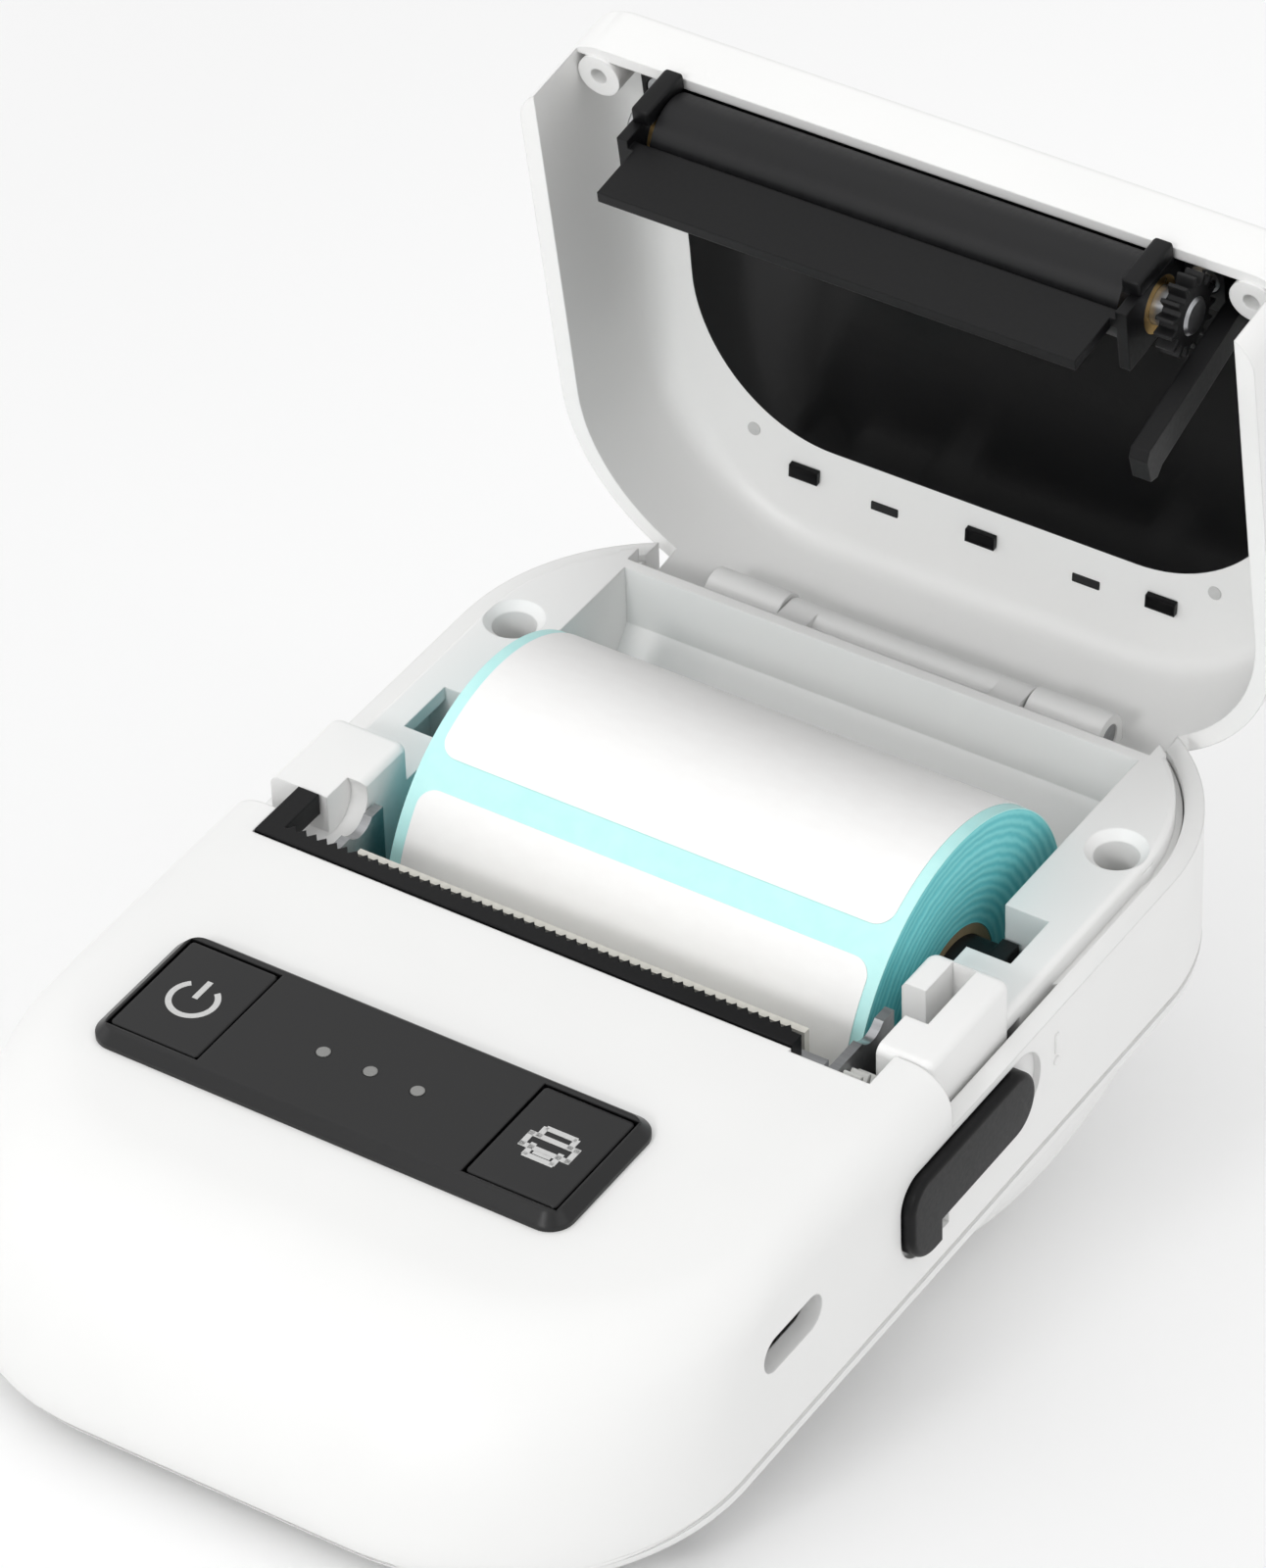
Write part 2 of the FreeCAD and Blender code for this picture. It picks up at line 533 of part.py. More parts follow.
def status_leds():
    """Three lights on the board, under their light pipes."""
    return Part.makeCompound([box(x - 0.8, x + 0.8, PANEL_Y - 0.5, PANEL_Y + 0.5, PCB_TOP_Z, PCB_TOP_Z + 1.0)
                              for x in light_places()])


PCB_SCREWS = [(-24.0, -45.0), (24.0, -45.0), (-29.6, -34.5), (27.0, -34.0)]
PCB_X, PCB_Y = (-32.0, 33.2), (-49.0, -19.6)


def main_pcb():
    """The main board with its chips and connectors."""
    z0 = PCB_TOP_Z - PCB_THICKNESS
    board = rounded_block(PCB_X[0], PCB_X[1], PCB_Y[0], PCB_Y[1], z0, PCB_TOP_Z, 5.0)
    chips = [box(-8, 2, -46, -36, PCB_TOP_Z, PCB_TOP_Z + 1.2), box(8, 14, -45, -39, PCB_TOP_Z, PCB_TOP_Z + 1.5),
             box(-12, 6, -23.0, -20.6, z0 - 1.6, z0), box(-30, -25.4, -30, -24, z0 - 2.4, z0),
             box(-22, -16, -44, -37, PCB_TOP_Z, PCB_TOP_Z + 2.0)]
    board = fuse([board] + chips)
    for x, y in PCB_SCREWS:
        board = board.cut(rod_z(x, y, 1.1, z0 - 1, PCB_TOP_Z + 1))
    return board


def pcb_screws():
    """Four small screws that hold the board up against its posts."""
    return Part.makeCompound([screw(x, y, PCB_TOP_Z - PCB_THICKNESS - 1.2, 1.6, 0.7, PCB_THICKNESS + 4.0, 1.2, True)
                              for x, y in PCB_SCREWS])


def usb_c_socket():
    """Rolled metal charging socket with its tongue."""
    x0, x1 = HALF - 10.0, HALF - WALL - 0.1
    high, wide = 1.6, 4.45
    def shell(less):
        parts = [rod_x(USB_Y + s * (wide - high), USB_Z, high - less, x0, x1) for s in (-1, 1)]
        parts.append(box(x0, x1, USB_Y - wide + high, USB_Y + wide - high, USB_Z - high + less, USB_Z + high - less))
        return fuse(parts)
    hollow = shell(0.35).common(box(x0 + 2.5, x1, -60, 0, -20, 0))
    tongue = box(x0 + 1, x1 - 0.8, USB_Y - 3.0, USB_Y + 3.0, USB_Z - 0.35, USB_Z + 0.35)
    return fuse([shell(0).cut(hollow), tongue])


def battery():
    """Lithium pack under the board."""
    pack = rounded_block(-24, 24, -50, -23.5, -20.9, -15.6, 2.0)
    return round_edges(pack, 1.2, lambda m, e: abs(e.tangentAt(e.FirstParameter).z) < 0.01 and abs(m.x) < 23.9
                       or abs(m.x) > 23.9 and abs(e.tangentAt(e.FirstParameter).y) > 0.99)


def battery_lead():
    """The twin lead from the pack to its plug under the board."""
    outline = [(-24.0, -17.6), (-27.2, -17.6), (-27.2, -15.0), (-28.0, -15.0), (-28.0, -18.4), (-24.0, -18.4)]
    return prism_y(outline, -28.2, -25.8)


def head_flex():
    """The flat cable from the print head to the board, bent round under the frame."""
    t = 0.3
    outline = [(0.9, -18.4), (0.9, -21.0), (-22.0, -21.0), (-22.0, -14.2), (-22.0 + t, -14.2),
               (-22.0 + t, -21.0 + t), (0.9 - t, -21.0 + t), (0.9 - t, -18.4)]
    return prism_x(outline, -10, 4)


# ---------------------------------------------------------------- print mechanism
def tear_bar():
    """Black serrated bar with its return round the left end of the roller."""
    x0, x1 = TEAR_BAR_X
    bar = box(x0, x1, 0, TEAR_BAR_DEPTH - 0.7, TEAR_BAR_Z[0], TEAR_BAR_Z[1])
    teeth = []
    count = int((x1 - x0 - 3.0) / TOOTH_PITCH)
    for index in range(count):
        x = x0 + 2.6 + index * TOOTH_PITCH
        ring = [V(x, TEAR_BAR_DEPTH - 0.75, TEAR_BAR_Z[0]), V(x + TOOTH_PITCH, TEAR_BAR_DEPTH - 0.75, TEAR_BAR_Z[0]),
                V(x + TOOTH_PITCH / 2, TEAR_BAR_DEPTH, TEAR_BAR_Z[0])]
        teeth.append(Part.Face(Part.makePolygon(ring + ring[:1])).extrude(V(0, 0, TEAR_BAR_Z[1] - TEAR_BAR_Z[0])))
    tail = box(x0, x0 + 2.4, 0.5, 7.5, TEAR_BAR_Z[0], TEAR_BAR_Z[1])
    return fuse([bar, tail] + teeth)


def print_frame():
    """Bent steel bracket across the mechanism: carries the tear bar and the head springs."""
    wide = SIDE_PLATE_X
    top = TEAR_BAR_Z[0]
    upright = box(-wide, SIDE_PLATE_X - MOTOR_LENGTH - 1.0, -4.8, -3.8, -20.0, top)
    ledge = box(-wide, wide, -4.8, TEAR_BAR_DEPTH - 0.1, top - 0.8, top)
    frame = fuse([upright, ledge])
    for x in HEAD_SPRING_X:
        frame = frame.cut(rod_y(x, -7, 0.6, -6, -3))
    return frame


def side_plate_blank(y0):
    """A steel side plate with the round seat for the roller's shaft."""
    outline = [(y0, -20), (4.1, -20), (4.1, -16.9), (12.4, -16.9), (12.4, -3.0), (y0, -3.0)]
    plate = prism_x(outline, SIDE_PLATE_X, SIDE_PLATE_X + SIDE_PLATE_T)
    plate = plate.cut(rod_x(PLATEN_Y, PLATEN_Z, SHAFT_R + 0.35, 20, 40))
    return plate.cut(rod_x(HEAD_PIVOT_Y, HEAD_PIVOT_Z, 1.0, 20, 40))


def motor_axis():
    """Centre of the motor, behind and below the idler at the gears' centre distance."""
    reach = GEAR_MODULE * (IDLER_TEETH + PINION_TEETH) / 2
    return IDLER_Y - PINION_BACK, IDLER_Z - math.sqrt(reach ** 2 - PINION_BACK ** 2)


def gear_plate():
    """Right side plate: holds the motor, the idler pin and the roller's right seat."""
    y, z = motor_axis()
    plate = side_plate_blank(y - MOTOR_R - 1.5)
    plate = plate.cut(rod_x(y, z, 1.4, 20, 40))
    return plate.cut(rod_x(IDLER_Y, IDLER_Z, 1.0, 20, 40))


def left_side_plate():
    """Left side plate with the roller's left seat."""
    return mirrored(side_plate_blank(-4.8))


def head_pivot_pins():
    """Two pins that the print head rocks on."""
    pin = rod_x(HEAD_PIVOT_Y, HEAD_PIVOT_Z, 1.0, 24.0, SIDE_PLATE_X + SIDE_PLATE_T)
    return Part.makeCompound(both_sides(pin))


def head_heatsink():
    """Aluminium back of the print head, bored for the pivot pins."""
    bar = box(-27.5, 27.5, 1.2, 3.2, -16.9, -3.1)
    for x in (-27.5, 22.0):
        bar = bar.cut(rod_x(HEAD_PIVOT_Y, HEAD_PIVOT_Z, 1.0 + RUNNING_FIT, x - 0.5, x + 5.5))
    knuckles = [rod_x(HEAD_PIVOT_Y, HEAD_PIVOT_Z, 1.7, x, x + 5.5) for x in (-27.5, 22.0)]
    bar = fuse([bar] + knuckles)
    for x in (-28.0, 21.8):
        bar = bar.cut(rod_x(HEAD_PIVOT_Y, HEAD_PIVOT_Z, 1.0 + RUNNING_FIT, x, x + 6.2))
    return bar


def head_ceramic():
    """The ceramic strip with the line of heaters."""
    return box(-25.5, 25.5, 3.2, 4.0, -12.5, -0.9)


def head_springs():
    """Two leaf springs that press the head against the roller."""
    strip = [(-3.5, -9.0), (-3.2, -9.0), (-3.2, -5.9), (0.9, -7.4), (0.9, -7.0), (-3.2, -5.5), (-3.5, -5.5)]
    return Part.makeCompound([prism_x(strip, x - 2.5, x + 2.5) for x in HEAD_SPRING_X])


def stepper_motor():
    """Round stepper motor that drives the roller."""
    y, z = motor_axis()
    x1 = SIDE_PLATE_X
    can = rod_x(y, z, MOTOR_R, x1 - MOTOR_LENGTH, x1)
    plug = box(x1 - MOTOR_LENGTH + 2, x1 - 4, y - MOTOR_R - 1.6, y - MOTOR_R + 2, z - 3, z + 3)
    return fuse([can, plug]).cut(rod_x(y, z, 0.75 + RUNNING_FIT, x1 - 5, x1 + 1))


def motor_pinion():
    """Brass pinion on the motor's shaft."""
    y, z = motor_axis()
    away = math.atan2(IDLER_Z - z, IDLER_Y - y)
    wheel = gear(PINION_TEETH, GEAR_MODULE * (PINION_TEETH / 2 + 0.9), GEAR_WIDTH + 0.3, GEAR_X - 0.15, (y, z),
                 0.7, away + math.pi / PINION_TEETH)
    return fuse([wheel, rod_x(y, z, 0.75, SIDE_PLATE_X - 4.8, GEAR_X + GEAR_WIDTH + 0.4)])


def idler_gear():
    """White idler that meets the roller's gear when the lid is shut."""
    y, z = motor_axis()
    toward = math.atan2(z - IDLER_Z, y - IDLER_Y)
    return gear(IDLER_TEETH, GEAR_MODULE * (IDLER_TEETH / 2 + 0.9), GEAR_WIDTH, GEAR_X, (IDLER_Y, IDLER_Z),
                1.0 + RUNNING_FIT, toward)


def idler_pin():
    """Headed pin that the idler turns on."""
    return fuse([rod_x(IDLER_Y, IDLER_Z, 1.0, SIDE_PLATE_X, GEAR_X + GEAR_WIDTH + 0.3),
                 rod_x(IDLER_Y, IDLER_Z, 1.7, GEAR_X + GEAR_WIDTH + 0.15, GEAR_X + GEAR_WIDTH + 0.7)])


def paper_sensor():
    """Gap sensor on the ledge at the front of the bin."""
    return fuse([box(-8, 0, 4.6, 7.6, -17.2, -15.9), box(-7, -5.2, 5.2, 7.0, -16, -15.5),
                 box(-2.8, -1, 5.2, 7.0, -16, -15.5)])


# ---------------------------------------------------------------- release lever
def release_lever():
    """Black lever plate on the right side, with its stem through the wall."""
    plate = lever_outline(0, 0).common(box(HALF - RECESS + 0.1, HALF + LEVER_PROUD, -30, 60, -30, 0))
    plate = round_edges(plate, 0.6, lambda m, e: m.x > HALF + LEVER_PROUD - 0.01)
    stem = box(37.8, HALF, 4.0, 9.0, -12.5, -10.0)
    return fuse([plate, stem])


def lever_catch():
    """Inner catch bar whose nose holds the latch arm down."""
    bar = box(36.0, 37.8, 4.0, 19.8, -12.8, -9.8)
    nose = box(33.2, 36.5, 18.5, 19.8, -12.8, -9.8)
    tail = rod_y(36.9, -11.3, 0.7, 19.8, 20.0)
    return fuse([bar, nose, tail])


def lever_spring():
    """Leaf spring that returns the lever, standing on the front wall of the guide's pocket."""
    wall = ROLL_Y - GUIDE_WIDTH / 2 - 1.45
    strip = [(wall, -12.8), (wall - 0.3, -12.8), (wall - 0.3, -10.7), (20.05, -11.6), (20.05, -11.25),
             (wall - 0.3, -10.3), (wall, -10.3)]
    return prism_x(strip, 36.3, 37.5)


# ---------------------------------------------------------------- paper
def label_roll():
    """Wound labels on their backing strip."""
    half = LINER_WIDTH / 2
    return rod_x(ROLL_Y, ROLL_Z, ROLL_R, -half, half).cut(
        rod_x(ROLL_Y, ROLL_Z, CORE_R + CORE_WALL, -half - 1, half + 1))


def roll_core():
    """Card core of the roll, cut a little shorter than the strip."""
    half = LINER_WIDTH / 2 - 0.8
    return rod_x(ROLL_Y, ROLL_Z, CORE_R + CORE_WALL, -half, half).cut(
        rod_x(ROLL_Y, ROLL_Z, CORE_R, -half - 1, half + 1))


def roll_guide():
    """Right roll guide: a sliding plate with a hub that enters the core."""
    half = GUIDE_WIDTH / 2
    x0 = BIN_WIDTH / 2
    plate = box(x0, x0 + GUIDE_PLATE_T, ROLL_Y - half, ROLL_Y + half, -20.8, GUIDE_TOP_Z)
    hub = rod_x(ROLL_Y, ROLL_Z, CORE_R - 0.08, LINER_WIDTH / 2 - 2.2, x0)
    hub = hub.makeChamfer(0.8, [e for e in hub.Edges if e.Closed and e.CenterOfMass.x < x0 - 1])
    return fuse([plate, hub.cut(rod_x(ROLL_Y, ROLL_Z, 4.2, 20, x0 - 1.0))])


def guide_spring():
    """Leaf spring behind the right roll guide, standing on the pocket's outer wall."""
    near = BIN_WIDTH / 2 + GUIDE_PLATE_T + 0.1
    wall = BIN_WIDTH / 2 + GUIDE_PLATE_T + GUIDE_TRAVEL + 2.55
    strip = [(wall, -17.5), (wall - 0.3, -17.5), (wall - 0.3, -13.4), (near, -15.2), (near, -14.8),
             (wall - 0.3, -13.0), (wall, -13.0)]
    return prism_y(strip, ROLL_Y - 1.8, ROLL_Y + 1.8)


# ---------------------------------------------------------------- lid, built shut
def lid_block(inset):
    """The lid's outer form, moved in by inset."""
    prism = plan_prism(inset, LID_SKIRT_Z - 5, 40)
    front = LID_FRONT_Y + min(inset, LIP_WALL)
    prism = prism.common(box(-HALF, HALF, front, 90, -40, 40))
    top = LID_TOP_Z - inset
    arc = Part.Arc(V(-60, LID_FRONT_Y - 1, top - 3.3), V(-60, 31, top), V(-60, BODY_REAR + 1, top - 6.3)).toShape()
    a, b = arc.Vertexes[0].Point, arc.Vertexes[-1].Point
    low_a, low_b = V(-60, a.y, -30), V(-60, b.y, -30)
    section = Part.Face(Part.Wire([arc, Part.makeLine(b, low_b), Part.makeLine(low_b, low_a), Part.makeLine(low_a, a)]))
    block = prism.common(section.extrude(V(120, 0, 0)))
    radius = LID_EDGE_R - inset
    block = round_edges(block, radius, lambda m, e: m.z > 0 and m.y > front + 0.5
                        and abs(e.tangentAt(e.FirstParameter).z) < 0.6)
    if inset < LIP_WALL:
        block = round_edges(block, 1.2 - inset, lambda m, e: m.z > 0 and m.y < front + 0.01
                            and abs(e.tangentAt((e.FirstParameter + e.LastParameter) / 2).z) < 0.3)
    return block


def window_zone():
    """Where the black window covers the lid's outside."""
    return rounded_block(-HALF - 1, HALF + 1, 9.0, 61.0, RIM_Z + 5.0, 30, 0.4)


def window_hole(grow):
    """The opening in the white lid under the window."""
    wire = plan_wire(WINDOW_WIDTH / 2 + grow, 13.0 - grow, WINDOW_REAR_Y + grow, 5.0, 16.6 + grow, -2)
    return Part.Face(wire).extrude(V(0, 0, 40))


def lid_pieces():
    """The white lid shell and the black window that is let into it."""
    outer, middle, inner = lid_block(0), lid_block(WINDOW_SKIN), lid_block(WALL)
    skin = outer.cut(middle).common(window_zone())
    plug = middle.common(window_hole(0)).cut(inner)
    tabs = [box(x - 1.7, x + 1.7, 58.6, 60.0, 3.0, 20).common(middle).cut(lid_block(WALL + 0.6)) for x in (-21, 0, 21)]
    window = fuse([skin, plug] + tabs)
    half = LID_SKIRT_WIDTH / 2
    keep = fuse([box(-60, 60, 0, 90, RIM_Z, 40), box(-half, half, HINGE_Y - 4, 90, LID_SKIRT_Z, RIM_Z + 1)])
    shell = outer.common(keep).cut(inner)
    shell = shell.cut(box(-HALF + WALL, HALF - WALL, 0, 9, -20, LID_LIP_Z))
    fixings = [rod_z(x, y, 2.4, z, 9) for x, y, z in LID_POSTS]
    fixings = [post.common(middle) for post in fixings]
    for side in (-1, 1):
        x0 = 14.5 if side > 0 else -23.2
        arm = fuse([rod_x(HINGE_Y, HINGE_Z, 2.6, x0, x0 + 8.7),
                    box(x0, x0 + 8.7, HINGE_Y, BODY_REAR - WALL + 0.5, HINGE_Z - 2.4, HINGE_Z + 2.4)])
        fixings.append(arm.common(outer))
    shell = fuse([shell] + fixings).cut(window)
    shell = shell.cut(rod_x(HINGE_Y, HINGE_Z, 1.5 + RUNNING_FIT, -24, 24))
    for x, y, z in LID_POSTS:
        shell = shell.cut(rod_z(x, y, 0.9, z - 1, z + (2.6 if z < 3 else 1.2)))
    corner_y = LID_FRONT_Y + LID_CORNER_R
    corner = box(HALF - LID_CORNER_R, HALF + 1, LID_FRONT_Y - 1, corner_y, -30, 40)
    corner = corner.cut(rod_z(HALF - LID_CORNER_R, corner_y, LID_CORNER_R, -31, 41))
    for cutter in both_sides(corner):
        shell = shell.cut(cutter)
    return shell, window


BRACKET_SCREW_X, BRACKET_SCREW_Y = 30.6, 8.6
LID_POSTS = [(s * 36.7, 7.6, 1.5) for s in (-1, 1)] + [(s * BRACKET_SCREW_X, BRACKET_SCREW_Y, 5.6) for s in (-1, 1)]


def roller_bracket():
    """Black carrier for the platen roller, with the paper plate below it."""
    front = LID_FRONT_Y + LIP_WALL + 0.2
    x0, x1 = CHEEK_X
    beam = box(-x1, x1, front, 13.0, 3.2, 4.6)
    side = [(5.0, -7.6), (12.2, -7.6), (12.2, 4.6), (front, 4.6), (front, 1.4), (5.0, 1.4)]
    cheek = prism_x(side, x0, x1)
    tab = box(x1 - 0.4, 32.8, front, 12.2, 3.2, 5.6)
    plate = box(-26.7, 26.7, 6.0, 7.2, -14.2, -6.4)
    corner = box(25.5, x1, 6.0, 7.2, -7.6, -6.4)
    parts = [beam, plate]
    for piece in (cheek, tab, corner):
        parts += both_sides(piece)
    bracket = fuse(parts)
    bracket = bracket.cut(rod_x(PLATEN_Y, PLATEN_Z, 3.0, -40, -26.5)).cut(rod_x(PLATEN_Y, PLATEN_Z, 3.0, 26.5, 40))
    for x in (-BRACKET_SCREW_X, BRACKET_SCREW_X):
        bracket = bracket.cut(rod_z(x, BRACKET_SCREW_Y, 1.7, 3.0, 4.7)).cut(rod_z(x, BRACKET_SCREW_Y, 1.0, 3.0, 6.0))
    return bracket


def bushing():
    """Right bush that the roller's shaft turns in."""
    return rod_x(PLATEN_Y, PLATEN_Z, 3.0, CHEEK_X[0], CHEEK_X[1]).cut(
        rod_x(PLATEN_Y, PLATEN_Z, SHAFT_R + RUNNING_FIT, 26, 29))


def bracket_screws():
    """Two screws that hold the roller carrier to the lid."""
    return Part.makeCompound([screw(x, BRACKET_SCREW_Y, 3.3, 1.6, 0.85, 1.9, 1.3, True)
                              for x in (-BRACKET_SCREW_X, BRACKET_SCREW_X)])


def latch_arm():
    """Black arm with a barb that the lever's catch holds."""
    outline = [(10.2, 9.0), (14.0, 9.0), (14.0, 4.6), (13.4, 2.0), (16.6, -13.4), (17.4, -14.4), (17.0, -15.6),
               (14.2, -16.0), (13.2, -15.4), (10.2, 2.0)]
    arm = prism_x(outline, ARM_X, ARM_X + ARM_T)
    foot = box(ARM_X, 38.6, 10.4, 14.0, 4.8, 9.0)
    return fuse([arm, foot]).common(lid_block(WALL))


def platen_rubber():
    """Black rubber sleeve of the platen roller."""
    half = PLATEN_LENGTH / 2
    return rod_x(PLATEN_Y, PLATEN_Z, PLATEN_R, -half, half).cut(rod_x(PLATEN_Y, PLATEN_Z, SHAFT_R, -40, 40))


def platen_shaft():
    """Steel shaft of the platen roller."""
    shaft = rod_x(PLATEN_Y, PLATEN_Z, SHAFT_R, -30.5, GEAR_X + GEAR_WIDTH + 0.3)
    return shaft.makeChamfer(0.3, [e for e in shaft.Edges if e.Closed])


def platen_gear():
    """Gear on the right end of the platen shaft."""
    return gear(PLATEN_TEETH, PLATEN_GEAR_R, GEAR_WIDTH, GEAR_X, (PLATEN_Y, PLATEN_Z), SHAFT_R)


def hinge_pin():
    """Steel rod that the lid swings on."""
    return rod_x(HINGE_Y, HINGE_Z, 1.5, -23.0, 23.0)


def frame_screws():
    """Two long screws through the inner frame into the lower housing."""
    return Part.makeCompound([screw(x, FRAME_SCREW_Y, -16.3, 2.1, 1.1, 4.6, 1.6)
                              for x in (-FRAME_SCREW_X, FRAME_SCREW_X)])


def housing_screws():
    """Two screws up from the underside into the deck's posts."""
    return Part.makeCompound([screw(x, BOSS_Y, SLAB_BOTTOM_Z + 0.1, 2.0, 1.0, 8.5, 1.5, True)
                              for x in (-BOSS_X, BOSS_X)])


# ---------------------------------------------------------------- stance
def stance():
    """Tilt in degrees: the floor passes just under the round chin and under the feet of the belly."""
    centre_z, radius = belly_circle()
    ahead = ROLL_Y - (BODY_FRONT + CHIN_R)
    above = centre_z - (SLAB_BOTTOM_Z + CHIN_R)
    sag = radius + FOOT_PROUD - (CHIN_R + CHIN_CLEARANCE)
    return math.degrees(math.asin(sag / math.hypot(ahead, above)) - math.atan2(above, ahead))


def to_stance(shape):
    """Turn a deck-frame shape onto its feet, about the deck frame's own origin."""
    turned = shape.copy()
    turned.rotate(V(0, 0, 0), V(1, 0, 0), stance())
    return turned


def opened(shape):
    """Swing a lid piece from shut to open."""
    turned = shape.copy()
    turned.rotate(V(0, HINGE_Y, HINGE_Z), V(1, 0, 0), -LID_OPEN_ANGLE)
    return turned


def floor_height():
    """Height of the surface under the feet, once the deck frame is tilted."""
    centre_z, radius = belly_circle()
    tilt = math.radians(stance())
    return ROLL_Y * math.sin(tilt) + centre_z * math.cos(tilt) - radius - FOOT_PROUD


def foot_places():
    """Centres of the feet on the floor: front pair, then rear pair."""
    centre_z, _ = belly_circle()
    tilt = math.radians(stance())
    front_y = FRONT_FOOT_Y * math.cos(tilt) - SLAB_BOTTOM_Z * math.sin(tilt)
    rear_y = ROLL_Y * math.cos(tilt) - centre_z * math.sin(tilt)
    return front_y, rear_y


def foot_pad(x, y, height, grow=0.0):
    """A round rubber pad standing on the floor."""
    z = floor_height()
    return rod_z(x, y, FOOT_R + grow, z, z + height)


def build():
    """Every node in the stance frame, before its origin is set."""
    lid_shell, lid_window = lid_pieces()
    power_x, feed_x = button_centres()
    guide, coil = roll_guide(), guide_spring()
    nodes = {
        "upper_housing": upper_housing(),
        "lower_housing": lower_housing(),
        "inner_frame": inner_frame(),
        "tear_bar": tear_bar(),
        "panel_bezel": panel_bezel(),
        "power_button": panel_button(power_x),
        "feed_button": panel_button(feed_x),
        "indicator_lights": indicator_lights(),
        "status_leds": status_leds(),
        "power_switch": tact_switch(power_x),
        "feed_switch": tact_switch(feed_x),
        "main_pcb": main_pcb(),
        "pcb_screws": pcb_screws(),
        "usb_c_socket": usb_c_socket(),
        "battery": battery(),
        "battery_lead": battery_lead(),
        "head_flex": head_flex(),
        "print_frame": print_frame(),
        "gear_plate": gear_plate(),
        "left_side_plate": left_side_plate(),
        "head_pivot_pins": head_pivot_pins(),
        "head_heatsink": head_heatsink(),
        "head_ceramic": head_ceramic(),
        "head_springs": head_springs(),
        "stepper_motor": stepper_motor(),
        "motor_pinion": motor_pinion(),
        "idler_gear": idler_gear(),
        "idler_pin": idler_pin(),
        "paper_sensor": paper_sensor(),
        "release_lever": release_lever(),
        "lever_catch": lever_catch(),
        "lever_spring": lever_spring(),
        "label_roll": label_roll(),
        "roll_core": roll_core(),
        "right_roll_guide": guide,
        "left_roll_guide": mirrored(guide),
        "right_guide_spring": coil,
        "left_guide_spring": mirrored(coil),
        "hinge_pin": hinge_pin(),
        "frame_screws": frame_screws(),
        "housing_screws": housing_screws(),
        "lid_shell": opened(lid_shell),
        "lid_window": opened(lid_window),
        "roller_bracket": opened(roller_bracket()),
        "right_bushing": opened(bushing()),
        "left_bushing": opened(mirrored(bushing())),
        "bracket_screws": opened(bracket_screws()),
        "latch_arm": opened(latch_arm()),
        "platen_shaft": opened(platen_shaft()),
        "platen_rubber": opened(platen_rubber()),
        "platen_gear": opened(platen_gear()),
    }
    nodes = {name: to_stance(shape) for name, shape in nodes.items()}
    front_y, rear_y = foot_places()
    pads = {"front_feet": [(x, front_y, FRONT_PAD_HEIGHT) for x in (-FRONT_FOOT_X, FRONT_FOOT_X)],
            "rear_feet": [(x, rear_y, REAR_PAD_HEIGHT) for x in (-REAR_FOOT_X, REAR_FOOT_X)]}
    for name, places in pads.items():
        feet = [foot_pad(x, y, height) for x, y, height in places]
        for foot in feet:
            nodes["lower_housing"] = nodes["lower_housing"].cut(foot)
        nodes[name] = Part.makeCompound(feet)
    return nodes


def origin_shift(nodes):
    """Move that puts the origin at the middle of the whole object's underside."""
    whole = FreeCAD.BoundBox()
    for shape in nodes.values():
        whole.add(shape.optimalBoundingBox(False))
    return V(-(whole.XMin + whole.XMax) / 2, -(whole.YMin + whole.YMax) / 2, -whole.ZMin)


def main():
    """Build every piece, set the origin and write one STEP file for each."""
    os.makedirs("parts", exist_ok=True)
    nodes = build()
    shift = origin_shift(nodes)
    for name, shape in nodes.items():
        placed = shape.copy()
        placed.translate(shift)
        placed.exportStep("parts/" + name + ".step")
    print("pieces", len(nodes), "tilt", round(stance(), 3), "shift", [round(v, 3) for v in shift])
    return nodes, shift


if __name__ == "__main__":
    main()
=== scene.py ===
"""Looks of the thermal label printer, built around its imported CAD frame.

Every piece is modelled in deck coordinates: X to the right, Y to the back, Z up from the flat deck,
with Y = 0 at the front edge of the tear bar.  `deck_frame` then lays it down on the tilted printer,
and `lid_frame` does the same for what belongs to the open lid, which is modelled shut.
"""
import json
import math
import random

import bmesh
import bpy
from bpy.props import FloatProperty, IntProperty, PointerProperty, StringProperty
from mathutils import Matrix, Vector


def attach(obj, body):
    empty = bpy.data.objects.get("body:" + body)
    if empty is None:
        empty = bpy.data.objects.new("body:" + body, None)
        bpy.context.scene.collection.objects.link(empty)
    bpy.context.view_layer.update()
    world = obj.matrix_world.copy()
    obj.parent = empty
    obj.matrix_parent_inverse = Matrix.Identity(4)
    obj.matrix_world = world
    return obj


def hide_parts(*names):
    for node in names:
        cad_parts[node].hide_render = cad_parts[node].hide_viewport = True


bl_info = {
    "name": "Label Printer Looks",
    "version": (1, 0, 0),
    "blender": (4, 5, 0),
    "location": "3D View > Sidebar > Printer",
    "description": "Finishes and fine pieces for a portable label printer",
    "category": "Object",
}

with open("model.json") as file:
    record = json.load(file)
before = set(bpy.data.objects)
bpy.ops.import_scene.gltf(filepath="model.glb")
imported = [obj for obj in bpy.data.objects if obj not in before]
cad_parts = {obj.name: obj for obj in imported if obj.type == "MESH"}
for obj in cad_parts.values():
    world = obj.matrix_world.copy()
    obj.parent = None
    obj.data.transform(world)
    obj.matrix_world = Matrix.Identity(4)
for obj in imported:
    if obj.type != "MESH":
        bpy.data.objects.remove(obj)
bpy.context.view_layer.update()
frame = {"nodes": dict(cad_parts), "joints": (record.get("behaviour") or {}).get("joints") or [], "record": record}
JOINTS = {joint["name"]: joint for joint in frame["joints"]}

